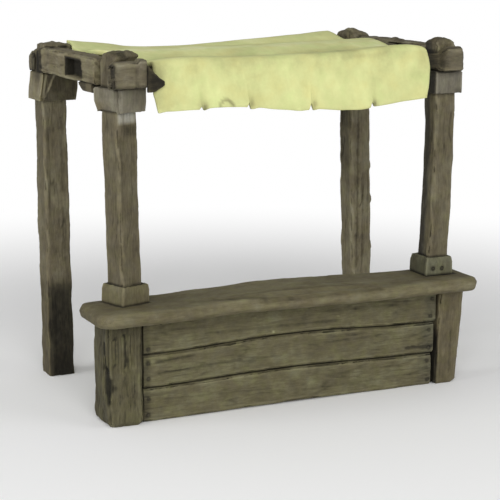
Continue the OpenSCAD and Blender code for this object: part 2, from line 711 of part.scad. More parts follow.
// Level of the ragged, torn front edge.
function hem_z(t) = beam_level - front_drop - blend(t, hem_rows) + 0.06 * wander(t * 90, 2)
    + tear_height * max([for (k = tears)
        k[1] * max(0, 1 - abs(t - k[0]) * (cloth_right - cloth_left) * 2 / tear_width)]);

// Point on the upper or outer face and the way towards the other one, for
// row r of the cloth.
roof_rows = 18;
bend_rows = 4;
drop_rows = 5;
function cloth_point(t, r) =
    let (radius = cloth_thickness + 0.5, turn = cloth_front + radius,
        y = r <= roof_rows ? mix(cloth_rear, turn, r / roof_rows) : turn,
        f = max(0, r - roof_rows - bend_rows) / drop_rows,
        back = (y - turn) / (cloth_rear - turn),
        left = cloth_left - cloth_left_splay * back - cloth_left_bulge * blend(back, left_edge)
            + drop_left_run * f,
        right = cloth_right + cloth_right_splay * back - drop_right_run * f
            - cloth_shoulder * (1 - ease(back / 0.15)) * (1 - ease(f / 0.35)),
        x = mix(left, right, t) + 0.1 * wander(r * 1.7, t > 0.5 ? 1 : 8) * abs(2 * t - 1),
        fold = fold_depth * (0.5 + 0.5 * wander(x * 1.4, 6)) * f)
    r <= roof_rows ? [[x, y, roof_z(t, x, y)], [0, 0, -1]]
    : let (top = roof_z(t, x, turn) - radius)
    r <= roof_rows + bend_rows
        ? let (a = 90 * (r - roof_rows) / bend_rows)
            [[x, turn - radius * sin(a), top + radius * cos(a)], [0, sin(a), -cos(a)]]
    : [[x, cloth_front - front_flare * pow(f, 1.5) * (0.95 - 0.4 * t) - fold,
        mix(top, hem_z(t), f)], [0, 1, 0]];

// Shares of the width at which the cloth has a column of points: evenly
// between the tears, and three at each tear.
function cloth_columns() =
    let (w = tear_width / 2 / (cloth_right - cloth_left),
        ends = concat([-w], [for (k = tears) k[0]], [1 + w]))
    concat([for (i = [0 : len(ends) - 2])
        let (a = ends[i] + w, b = ends[i + 1] - w, n = max(2, round((b - a) * 26)))
        each concat([for (k = [0 : n]) mix(a, b, k / n)], i < len(tears) ? [ends[i + 1]] : [])]);

module awning() {
    columns = cloth_columns();
    rows = roof_rows + bend_rows + drop_rows;
    grid = [for (t = columns, r = [0 : rows]) cloth_point(t, r)];
    outer = [for (g = grid) g[0]];
    inner = [for (g = grid) g[0] + g[1] * cloth_thickness];
    n = len(grid);
    last = len(columns) - 1;
    at = function (i, r) i * (rows + 1) + r;
    skin = [for (i = [0 : last - 1], r = [0 : rows - 1])
        let (a = at(i, r), b = at(i + 1, r), c = at(i + 1, r + 1), d = at(i, r + 1))
        each [[a, b, c], [a, c, d], [n + a, n + c, n + b], [n + a, n + d, n + c]]];
    ends = [for (i = [0 : last - 1])
        let (a = at(i, 0), b = at(i + 1, 0), c = at(i, rows), d = at(i + 1, rows))
        each [[a, n + a, b], [b, n + a, n + b], [c, d, n + c], [d, n + d, n + c]]];
    sides = [for (r = [0 : rows - 1])
        let (a = at(0, r), b = at(0, r + 1), c = at(last, r), d = at(last, r + 1))
        each [[a, b, n + a], [b, n + b, n + a], [c, n + c, d], [d, n + c, n + d]]];
    color(cloth) polyhedron(concat(outer, inner), concat(skin, ends, sides), convexity = 8);
}

// Wedge that pins the awning's front corner beside the left head.
module awning_peg() {
    x0 = shaft_left + fit_gap;
    x1 = x0 + peg_length;
    rear = cloth_front - front_flare * 0.3;
    tip = cloth_front - front_flare * 0.55;
    z = beam_level + 1.35;
    color(wood) hull() {
        box(x0, x0 + 0.3, rear - peg_thickness, rear, z - peg_height / 2, z + peg_height / 2);
        box(x1 - 0.2, x1, tip - peg_thickness * 0.6, tip, z - 0.5, z + 0.1);
    }
}

counter_top();
left_pier();
right_pier();
lower_front_plank();
middle_front_plank();
upper_front_plank();
front_left_post();
front_right_post();
back_left_post();
back_right_post();
front_left_collar();
front_right_collar();
front_left_capital();
front_right_capital();
back_left_capital();
back_right_capital();
front_beam();
middle_beam();
back_beam();
left_side_beam();
right_side_beam();
front_left_bracket();
front_right_bracket();
awning();
awning_peg();
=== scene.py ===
"""Looks of the market stall miniature: painted timber and a moulded awning.

Each timber is a fine skin wrapped round its CAD node and carved as worn wood. The
awning is its CAD node, subdivided and then draped by moving its points. Lengths
are in millimetres until they go into a mesh or a lamp.
"""
import math

import bmesh
import bpy
import numpy as np
from mathutils import Matrix, Vector
from mathutils.bvhtree import BVHTree


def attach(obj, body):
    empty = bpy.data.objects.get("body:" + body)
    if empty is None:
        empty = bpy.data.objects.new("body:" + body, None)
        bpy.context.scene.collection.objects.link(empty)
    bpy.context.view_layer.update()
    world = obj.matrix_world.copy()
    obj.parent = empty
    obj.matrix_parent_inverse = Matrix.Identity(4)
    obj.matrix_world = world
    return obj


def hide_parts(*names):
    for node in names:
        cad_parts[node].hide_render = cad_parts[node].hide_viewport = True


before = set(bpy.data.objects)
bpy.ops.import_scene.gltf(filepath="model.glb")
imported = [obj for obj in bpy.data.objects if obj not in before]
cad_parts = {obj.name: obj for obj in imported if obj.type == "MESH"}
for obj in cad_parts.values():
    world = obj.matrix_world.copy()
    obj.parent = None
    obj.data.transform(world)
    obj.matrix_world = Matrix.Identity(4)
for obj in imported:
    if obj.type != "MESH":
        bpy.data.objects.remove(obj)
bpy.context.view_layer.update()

MM = 0.001
TINY, FAR = 1e-9, 1e9


# -------- curves and noise
def _hash(i, j, k, seed):
    """Scrambled value between -1 and 1 for every lattice point."""
    mask = 0xFFFFFFFF
    h = (i * 374761393 + j * 668265263 + k * 2147483647 + seed * 1274126177) & mask
    h = ((h ^ (h >> 13)) * 1274126177) & mask
    h = (h ^ (h >> 16)) & mask
    return h.astype(np.float64) / mask * 2 - 1


def noise(x, y, z, seed=0):
    """Smooth value noise between -1 and 1 on arrays of coordinates."""
    x, y, z = np.broadcast_arrays(x, y, z)
    i, j, k = (np.floor(a).astype(np.int64) for a in (x, y, z))
    u, v, w = x - i, y - j, z - k
    u, v, w = (t * t * t * (t * (t * 6 - 15) + 10) for t in (u, v, w))
    total = 0
    for a, b, c in np.ndindex(2, 2, 2):
        weight = (u if a else 1 - u) * (v if b else 1 - v) * (w if c else 1 - w)
        total = total + weight * _hash(i + a, j + b, k + c, seed)
    return total


def fbm(x, y, z, seed=0, octaves=3):
    """Noises of doubling frequency and halving size, added up."""
    total, size = 0, 1.0
    for n in range(octaves):
        total = total + size * noise(x * 2 ** n, y * 2 ** n, z * 2 ** n, seed + n * 17)
        size *= 0.5
    return total / (2 - 2 * size)


def smooth(edge0, edge1, x):
    """Soft step from 0 at edge0 to 1 at edge1, which may be the smaller one."""
    t = np.clip((x - edge0) / (edge1 - edge0), 0, 1)
    return t * t * (3 - 2 * t)


def hill(v, centre, width):
    """Bell curve of height 1 round centre."""
    return np.exp(-((v - centre) / width) ** 2)


def curve(v, pairs):
    """Straight lines through (place, value) pairs, level beyond the ends."""
    return np.interp(v, *zip(*pairs))


# -------- meshes
def add_object(name, data):
    """Object in the scene."""
    obj = bpy.data.objects.new(name, data)
    bpy.context.scene.collection.objects.link(obj)
    return obj


def read(mesh, key):
    """Vectors of all points of a mesh."""
    values = np.empty(len(mesh.vertices) * 3)
    mesh.vertices.foreach_get(key, values)
    return values.reshape(-1, 3)


def triangles(name):
    """The CAD node's triangles in millimetres, as an (n, 3, 3) array."""
    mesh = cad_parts[name].data
    mesh.calc_loop_triangles()
    tris = np.empty(len(mesh.loop_triangles) * 3, dtype=np.int32)
    mesh.loop_triangles.foreach_get("vertices", tris)
    return (read(mesh, "co") / MM)[tris.reshape(-1, 3)]


TRIS = {name: triangles(name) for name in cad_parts}


def triangle_tree(tris):
    """Search tree of loose triangles."""
    faces = np.arange(3 * len(tris)).reshape(-1, 3)
    return BVHTree.FromPolygons(tris.reshape(-1, 3).tolist(), faces.tolist())


def nearness(points, name, reach):
    """Distance of each point to the CAD nodes other than its own, as a share of
    the reach."""
    tree = triangle_tree(np.concatenate([t for other, t in TRIS.items() if other != name]))
    near = np.ones(len(points))
    for i, point in enumerate(points.tolist()):
        hit = tree.find_nearest(point, reach)
        if hit[0] is not None:
            near[i] = hit[3] / reach
    return near


def cut(tris, axis, at):
    """Segments of the section at a plane: (n, 2, 2) in the two other axes."""
    d = tris[:, :, axis] - at
    d = np.where(d == 0, TINY, d)
    out = []
    for a, b, c in ((0, 1, 2), (1, 2, 0), (2, 0, 1)):
        lone = (d[:, a] > 0) != (d[:, b] > 0)
        lone &= (d[:, b] > 0) == (d[:, c] > 0)
        t, s = tris[lone], d[lone]
        p = t[:, a] + (t[:, b] - t[:, a]) * (s[:, a] / (s[:, a] - s[:, b]))[:, None]
        q = t[:, a] + (t[:, c] - t[:, a]) * (s[:, a] / (s[:, a] - s[:, c]))[:, None]
        out.append(np.stack([p, q], 1))
    segs = np.concatenate(out)
    return np.delete(segs, axis, axis=2)


def outermost(segs, lateral, depth, samples, sign):
    """Furthest section point towards sign along depth at each lateral sample."""
    c0, c1 = segs[None, :, 0, lateral], segs[None, :, 1, lateral]
    d0, d1 = segs[None, :, 0, depth], segs[None, :, 1, depth]
    s = samples[:, None]
    hit = (c0 <= s) != (c1 <= s)
    span = np.where(c1 == c0, 1, c1 - c0)
    value = np.where(hit, d0 + (s - c0) / span * (d1 - d0), -sign * FAR)
    return value.max(1) if sign > 0 else value.min(1)


# -------- wrapping
SIDES = ((0, -1), (1, 1), (0, 1), (1, -1))  # a ring's sides: the axis each faces, and its way
EDGE_SHARE = 0.3  # an edge takes at most this share of a side
TIPS = np.array([0.004, 0.05, 0.12, 0.22, 0.36, 0.55, 0.8])  # rings next to an end
TIP_ZONE = 1.0  # the even rings start this far from an end
JUMP, MAX_FILL = 1.15, 12  # jump in ring spacings that gets extra rings, and how many
HOLE_STEP, HOLE_RINGS = 0.2, 8  # ring spacing on a bored end, and rings down the bore
CAP_STEP, CAP_LAST = 0.16, 0.03  # ring spacing on a closed end, and its last ring's share


def wrap_ring(segs, counts, edge, reach, rounds):
    """Ring of points round a section, side by side, with a few more points where
    an edge is rounded. No point lies deeper than reach under its side."""
    lo, hi = segs.min((0, 1)), segs.max((0, 1))
    ring = []
    for k, (depth, sign) in enumerate(SIDES):
        lateral = 1 - depth
        e = min(edge, (hi[lateral] - lo[lateral]) * EDGE_SHARE)
        s = np.linspace(lo[lateral] + e, hi[lateral] - e, counts[lateral])
        if k >= 2:
            s = s[::-1]
        d = outermost(segs, lateral, depth, s, sign)
        face = hi[depth] if sign > 0 else lo[depth]
        d = np.clip(d, face - reach, face) if sign > 0 else np.clip(d, face, face + reach)
        p = np.empty((len(s), 2))
        p[:, lateral], p[:, depth] = s, d
        ring.append(p)
    if rounds:
        filled = []
        for k in range(4):
            side, after = ring[k], ring[(k + 1) % 4]
            a, b = side[-1], after[0]
            corner = (a[0], b[1]) if k % 2 else (b[0], a[1])
            corner = (a + b) / 4 + np.array(corner) / 2
            t = (np.arange(rounds) + 1)[:, None] / (rounds + 1)
            filled += [side, a * (1 - t) ** 2 + corner * 2 * t * (1 - t) + b * t ** 2]
        ring = filled
    return np.concatenate(ring)


def turned(tris, turn, centre):
    """Triangles or points turned about the vertical through centre."""
    c, s = math.cos(turn), math.sin(turn)
    out = np.array(tris, dtype=float)
    x, y = out[..., 0] - centre[0], out[..., 1] - centre[1]
    out[..., 0], out[..., 1] = centre[0] + c * x - s * y, centre[1] + s * x + c * y
    return out


def fill_jumps(rings, step):
    """Extra rings where the skin steps in or out between two stations."""
    out = [rings[0]]
    for ring in rings[1:]:
        last = out[-1]
        extra = int(min(np.abs(ring - last).max() // step, MAX_FILL))
        for k in range(1, extra + 1):
            out.append(last + (ring - last) * k / (extra + 1))
        out.append(ring)
    return out


def half_width(ring, axis):
    """Half of a ring's smaller width."""
    return np.delete(np.ptp(ring, axis=0), axis).min() / 2


def bored(rings, axis, hole):
    """The rings, and more over the top, down the bore and under the bottom."""
    def shrunk(ring, share):
        mid = ring.mean(0)
        return mid + (ring - mid) * share

    steps = max(3, int((1 - hole) * half_width(rings[0], axis) / HOLE_STEP))
    shares = np.linspace(1, hole, steps + 1)[1:]
    top = [shrunk(rings[-1], s) for s in shares]
    bottom = [shrunk(rings[0], s) for s in shares]
    inside = [bottom[-1] + (top[-1] - bottom[-1]) * t
              for t in np.linspace(1, 0, HOLE_RINGS)[1:-1]]
    return rings + top + inside + bottom[::-1]


def cap(ring, axis, sign, solid):
    """Shrinking rings that close an end and lie on the solid's end face."""
    mid = (ring.max(0) + ring.min(0)) / 2
    steps = max(3, int(half_width(ring, axis) / CAP_STEP))
    made = [mid + (ring - mid) * s for s in np.linspace(1, CAP_LAST, steps + 1)[1:]]
    way = [0, 0, 0]
    way[axis] = -sign
    for layer in made:
        for point in layer:
            start = point.copy()
            start[axis] += sign * 0.5
            hit = solid.ray_cast(start.tolist(), way, 2.0)
            if hit[0] is not None:
                point[axis] = hit[0][axis]
    return made


def wrap(name, axis, across=0.13, along=0.34, edge=0.22, reach=0.9, turn=0.0,
         hole=None, rounds=0):
    """Fine skin over a CAD node: rings of points along its grain, closed at both
    ends, or bored by a hole of the given share. Returns the grid of points and
    whether its last ring joins its first."""
    tris = TRIS[name]
    pts = tris.reshape(-1, 3)
    centre = (pts.min(0) + pts.max(0)) / 2
    if turn:
        tris = turned(tris, -turn, centre)
        pts = tris.reshape(-1, 3)
    lo, hi = pts[:, axis].min(), pts[:, axis].max()
    middles = [cut(tris, axis, lo + (hi - lo) * t) for t in (0.2, 0.5, 0.8)]
    size = [np.median([np.ptp(segs[..., k]) for segs in middles]) for k in (0, 1)]
    counts = [max(6, int(round((w - 2 * edge) / across))) for w in size]
    base = np.linspace(0, 1, max(4, int(round((hi - lo) / along))) + 1) * (hi - lo)
    inner = base[(base > TIP_ZONE) & (base < hi - lo - TIP_ZONE)]
    rings = []
    for at in lo + np.concatenate([TIPS, inner, (hi - lo) - TIPS[::-1]]):
        ring = wrap_ring(cut(tris, axis, at), counts, edge, reach, rounds)
        rings.append(np.insert(ring, axis, at, axis=1))
    rings = fill_jumps(rings, along * JUMP)
    if hole:
        rings = bored(rings, axis, hole)
    else:
        solid = triangle_tree(tris)
        rings = cap(rings[0], axis, -1, solid)[::-1] + rings + cap(rings[-1], axis, 1, solid)
    grid = np.array(rings)
    if turn:
        grid = turned(grid, turn, centre)
    return grid, bool(hole)


def grid_faces(rows, cols, closed):
    """Quads of a ring grid; the open ends get one face each."""
    r = np.arange(rows if closed else rows - 1)
    c = np.arange(cols)
    rr, cc = np.meshgrid(r, c, indexing="ij")
    r2, c2 = (rr + 1) % rows, (cc + 1) % cols
    quads = np.stack([rr * cols + cc, rr * cols + c2, r2 * cols + c2, r2 * cols + cc], -1)
    faces = quads.reshape(-1, 4).tolist()
    if not closed:
        faces.append(list(range(cols))[::-1])
        faces.append([(rows - 1) * cols + k for k in range(cols)])
    return faces


def grid_normals(grid, closed):
    """Unit normals of a ring grid from its central differences."""
    along = np.roll(grid, -1, 0) - np.roll(grid, 1, 0) if closed else np.gradient(grid, axis=0)
    n = np.cross(np.roll(grid, -1, 1) - np.roll(grid, 1, 1), along)
    length = np.linalg.norm(n, axis=2, keepdims=True)
    return n / np.maximum(length, TINY)


def outward(grid, normals):
    """Normals that point out of the skin, and whether they did so already."""
    middle = len(grid) // 2
    away = ((grid[middle] - grid[middle].mean(0)) * normals[middle]).sum()
    return (normals, True) if away > 0 else (-normals, False)


# -------- carving
# How far the forms of worn wood move a skin, and how dark the wash in them is.
WAVE, STEP, GROOVE, FINE, SPLIT = 0.13, 0.07, 0.1, 0.035, 0.17
END_GRAIN, END_BLOT, GRIT, KNOB = 0.06, 0.05, 0.015, 0.26
GROOVE_WASH, FINE_WASH, SPLIT_WASH, END_WASH = 0.32, 0.12, 0.7, 0.2
KNOB_FOOT, KNOB_TOP = 55.3, 56.0  # a post's lumpy knob begins between these heights
KNOB_BLOT = 0.6
SEED_STEP = 37.7  # takes each piece to its own stretch of the noise


def carve(grid, normals, axis, seed, amount, cracks, turn, grain, edge):
    """Moves a skin in and out as worn, hewn wood. Returns the move along the
    normals, the share of dark wash, the blotches and the broad bumps."""
    others = [a for a in range(3) if a != axis]
    p = turned(grid, -turn, (0, 0)) if turn else grid
    n = turned(normals, -turn, (0, 0)) if turn else normals
    a, b, c = p[..., axis], p[..., others[0]], p[..., others[1]]
    off = seed * SEED_STEP
    side = 1 - smooth(0.55, 0.85, np.abs(n[..., axis]))
    # Broad waves, and steps where a tool took a flake off
    wave = fbm(a / 5.5 + off, b / 3, c / 3, seed, 2) * WAVE
    step = smooth(0.02, 0.25, noise(a / 2.6 + off, b / 4, c / 4, seed + 5)) * STEP
    # Grooves, fine lines and splits along a grain that bends a little
    bend = 0.3 * noise(a / 7, b / 5, c / 5, seed + 3)
    bb, cc = b + bend, c - bend
    grain = grain * (1 - edge)
    ridge = 1 - np.abs(noise(a / 8 + off, bb / 0.6, cc / 0.6, seed + 7))
    patchy = smooth(-0.3, 0.4, noise(a / 4, b / 2, c / 2, seed + 9))
    groove = grain * smooth(0.86, 0.99, ridge) * (0.35 + 0.65 * patchy)
    thin = 1 - np.abs(noise(a / 3.5 + off, bb / 0.3, cc / 0.3, seed + 11))
    fine = grain * smooth(0.72, 1.0, thin)
    field = noise(a / 10 + off, bb / 1.5, cc / 1.5, seed + 13)
    where = smooth(0.3, 0.55, noise(a / 6.5 + off, b / 2.5, c / 2.5, seed + 15))
    split = (1 - edge) * smooth(0.07, 0.01, np.abs(field)) * where
    # Lumps of the knobs, blotches, grit and the grain of the ends
    lump = fbm(p[..., 0] / 1.1 + off, p[..., 1] / 1.1, p[..., 2] / 0.9, seed + 31, 2)
    knob = smooth(KNOB_FOOT, KNOB_TOP, p[..., 2]) * lump if axis == 2 else 0 * lump
    blot = fbm(a / 3.0 + off, b / 1.6, c / 1.6, seed + 19, 3)
    grit = noise(a / 0.5, b / 0.22, c / 0.22, seed + 23)
    end_grain = noise(b / 0.5, c / 0.5, a / 3, seed + 29)
    depth = side * (wave + step - GROOVE * groove - FINE * fine - SPLIT * cracks * split)
    depth = depth + (1 - side) * (END_GRAIN * end_grain + END_BLOT * blot) + GRIT * grit
    wash = side * (GROOVE_WASH * groove + FINE_WASH * fine
                   + SPLIT_WASH * np.minimum(cracks, 1) * split)
    wash = wash + (1 - side) * END_WASH * smooth(0, -0.6, end_grain)
    return depth * amount + KNOB * knob, wash, blot + KNOB_BLOT * knob, (wave + step) * amount


ALL = (None, None)  # a zone that is open on both sides


def distance_to(points, a, b):
    """Distance of every point to the segment from a to b."""
    ab = b - a
    t = np.clip(((points - a) @ ab) / max(ab @ ab, TINY), 0, 1)
    return np.linalg.norm(points - (a + t[..., None] * ab), axis=-1)


def line(x, y, z, width, depth, tone):
    """Mark along a ragged line. A coordinate that changes on it is a pair."""
    a, b = np.array([np.broadcast_to(v, 2) for v in (x, y, z)], float).T

    def share(grid, normals):
        size = 0.9 * max(width, 0.5)
        ragged = 1 + 0.45 * noise(*(grid[..., k] / size for k in range(3)), 91)
        return smooth(width, width * 0.2, distance_to(grid, a, b) * ragged)
    return share, depth, tone, 0


def zone(blur, x=ALL, y=ALL, z=ALL, depth=0, tone=0, grey=0, way=None):
    """Mark in a box with soft sides, on the faces that look one way or on all."""
    def share(grid, normals):
        inside = np.ones(grid.shape[:2])
        for k, (lo, hi) in enumerate((x, y, z)):
            if lo is not None:
                inside = inside * smooth(lo - blur, lo + blur, grid[..., k])
            if hi is not None:
                inside = inside * smooth(hi + blur, hi - blur, grid[..., k])
        if way is not None:
            inside = inside * smooth(0.45, 0.8, normals @ np.array(way, float))
        return inside
    return share, depth, tone, grey


def marks_on(name, grid, normals):
    """Depth, tone and greyness that the listed marks add to a piece."""
    depth, tone, grey = np.zeros((3,) + grid.shape[:2])
    for mark, d, t, g in MARKS.get(name, []):
        share = mark(grid, normals)
        depth, tone, grey = depth + d * share, tone + t * share, grey + g * share
    return depth, tone, grey


def paint_tone(name, points, wash, blot, bumps, base, edge):
    """Tone of the paint: blotches, rubbed edges, a dark wash in the grain, and a dark
    wash with painted shade where the piece meets another."""
    near = nearness(points.reshape(-1, 3), name, 0.6).reshape(points.shape[:-1])
    # Darker where the piece meets another: partly dark wash, partly painted shade where the parts
    # shade each other.
    contact_wash_and_shade = 1 - smooth(0.05, 0.85, near)
    return base + 0.1 * blot + 0.4 * bumps + 0.12 * edge - 0.42 * wash - 0.34 * contact_wash_and_shade


def add_wood(name, points, faces, shades, grain):
    """Wooden piece, with the point attributes that its material reads."""
    mesh = bpy.data.meshes.new(name)
    mesh.from_pydata((points * MM).tolist(), [], faces)
    mesh.update()
    mesh.shade_smooth()
    for key, values in shades.items():
        data = mesh.attributes.new(key, "FLOAT", "POINT").data
        data.foreach_set("value", np.clip(values, 0, 1).reshape(-1).astype(np.float32))
    data = mesh.attributes.new("grain", "FLOAT_VECTOR", "POINT").data
    data.foreach_set("vector", grain.reshape(-1).astype(np.float32))
    mesh.materials.append(WOOD_MAT)
    obj = add_object(name, mesh)
    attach(obj, "root")
    return obj


# -------- materials
class Graph:
    """The nodes of a material or world, with short ways to add more."""

    def __init__(self, owner):
        owner.use_nodes = True
        self.nodes, self.links = owner.node_tree.nodes, owner.node_tree.links
        self.nodes.clear()

    def add(self, kind, inputs=None, **settings):
        """Node with its inputs set, or linked where they are another's output."""
        node = self.nodes.new(kind)
        for key, value in settings.items():
            setattr(node, key, value)
        for key, value in (inputs or {}).items():
            if isinstance(value, bpy.types.NodeSocket):
                self.links.new(value, node.inputs[key])
            else:
                node.inputs[key].default_value = value
        return node

    def attribute(self, name, output="Fac"):
        return self.add("ShaderNodeAttribute", attribute_name=name).outputs[output]

    def place(self):
        return self.add("ShaderNodeTexCoord").outputs["Object"]

    def camera_ray(self):
        return self.add("ShaderNodeLightPath").outputs["Is Camera Ray"]

    def stretched(self, vector, scale):
        inputs = {0: vector, 1: scale}
        return self.add("ShaderNodeVectorMath", inputs, operation="MULTIPLY").outputs[0]

    def noise(self, vector, scale, detail, rough):
        inputs = {"Vector": vector, "Scale": scale, "Detail": detail, "Roughness": rough}
        return self.add("ShaderNodeTexNoise", inputs).outputs["Fac"]

    def math(self, kind, *values, clamp=False):
        inputs = dict(enumerate(values))
        return self.add("ShaderNodeMath", inputs, operation=kind, use_clamp=clamp).outputs[0]

    def add_noises(self, tone, *layers):
        """The tone with noises round zero added, clamped at the end."""
        for layer, share in layers:
            change = self.math("MULTIPLY_ADD", layer, share, -share / 2)
            tone = self.math("ADD", tone, change, clamp=layer is layers[-1][0])
        return tone

    def ramp(self, value, colours):
        """Colour ramp of (place, linear colour) stops, driven by value."""
        node = self.add("ShaderNodeValToRGB", {"Fac": value})
        elements = node.color_ramp.elements
        while len(elements) > 1:
            elements.remove(elements[-1])
        elements[0].position, elements[0].color = colours[0][0], colours[0][1] + (1,)
        for at, colour in colours[1:]:
            elements.new(at).color = colour + (1,)
        return node.outputs["Color"]

    def multiply(self, a, b, factor=1.0):
        inputs = {"Factor": factor, "A": a, "B": b}
        node = self.add("ShaderNodeMix", inputs, data_type="RGBA", blend_type="MULTIPLY")
        return node.outputs["Result"]

    def bump(self, height, strength, distance):
        inputs = {"Height": height, "Strength": strength, "Distance": distance}
        return self.add("ShaderNodeBump", inputs).outputs["Normal"]

    def paint(self, colour, rough, specular, **normal):
        inputs = {"Base Color": colour, "Roughness": rough, "Specular IOR Level": specular}
        return self.add("ShaderNodeBsdfPrincipled", {**inputs, **normal}).outputs[0]


def srgb(*colour):
    """Linear colour of three sRGB values out of 255."""
    def lin(v):
        v /= 255
        return v / 12.92 if v <= 0.04045 else ((v + 0.055) / 1.055) ** 2.4
    return tuple(lin(v) for v in colour)


def stops(*table):
    """Stops of a colour ramp: place and linear colour."""
    return [(at, srgb(*colour)) for at, *colour in table]


# Colours from dark to pale, and the faint tints over them: place, sRGB
WOOD_COLOURS = stops((0.0, 26, 23, 14), (0.22, 56, 51, 37), (0.45, 92, 85, 65),
                     (0.62, 116, 109, 86), (0.8, 142, 136, 114), (1.0, 172, 168, 148))
WOOD_TINTS = stops((0.3, 252, 250, 255), (0.5, 255, 251, 244), (0.7, 255, 255, 232))
WOOD_ROUGHNESS = [(0.0, (0.9,) * 3), (1.0, (0.62,) * 3)]
MOSS = (0.85, 0.97, 0.86, 1)
CLOTH_COLOURS = stops((0.0, 92, 90, 62), (0.3, 160, 160, 112), (0.55, 189, 191, 135),
                      (0.8, 207, 210, 151), (1.0, 222, 224, 176))
CLOTH_TINTS = stops((0.3, 249, 255, 245), (0.5, 255, 255, 250), (0.7, 255, 250, 240))


def wood_material():
    """Painted timber: streaks along the grain, mottling, greyness and moss."""
    mat = bpy.data.materials.new("painted_timber")
    g = Graph(mat)
    grain = g.attribute("grain", "Vector")
    streak = g.noise(g.stretched(grain, (0.16, 1.0, 1.0)), 4.2, 4, 0.6)
    mottle = g.noise(grain, 0.9, 4, 0.6)
    speck = g.noise(grain, 9.0, 2, 0.5)
    hue = g.noise(grain, 0.55, 3, 0.6)
    tone = g.add_noises(g.attribute("tone"), (streak, 0.26), (mottle, 0.2), (speck, 0.08))
    colour = g.multiply(g.ramp(tone, WOOD_COLOURS), g.ramp(hue, WOOD_TINTS))
    inputs = {"Color": colour,
              "Saturation": g.math("MULTIPLY_ADD", g.attribute("grey"), -0.5, 1.0)}
    colour = g.add("ShaderNodeHueSaturation", inputs).outputs["Color"]
    colour = g.multiply(colour, MOSS, g.attribute("moss"))
    shader = g.paint(colour, g.ramp(tone, WOOD_ROUGHNESS), 0.3,
                     Normal=g.bump(streak, 0.5, 0.00006))
    g.add("ShaderNodeOutputMaterial", {0: shader})
    return mat


def cloth_material():
    """Painted awning: soft mottling, brush streaks and specks."""
    mat = bpy.data.materials.new("painted_awning")
    g = Graph(mat)
    place = g.place()
    soft = g.noise(place, 230, 4, 0.55)
    streak = g.noise(g.stretched(place, (1.0, 0.35, 0.35)), 700, 3, 0.6)
    speck = g.noise(place, 2600, 2, 0.5)
    hue = g.noise(place, 300, 3, 0.5)
    tone = g.add_noises(g.attribute("tone"), (soft, 0.5), (streak, 0.22), (speck, 0.1))
    colour = g.multiply(g.ramp(tone, CLOTH_COLOURS), g.ramp(hue, CLOTH_TINTS))
    shader = g.paint(colour, 0.72, 0.25, Normal=g.bump(streak, 0.35, 0.00008))
    g.add("ShaderNodeOutputMaterial", {0: shader})
    return mat


WOOD_MAT = wood_material()
CLOTH_MAT = cloth_material()

# -------- timbers
TURN = math.radians(18)  # how far the front left post stands turned
LEFT, FRONT, UP = (-1, 0, 0), (0, -1, 0), (0, 0, 1)
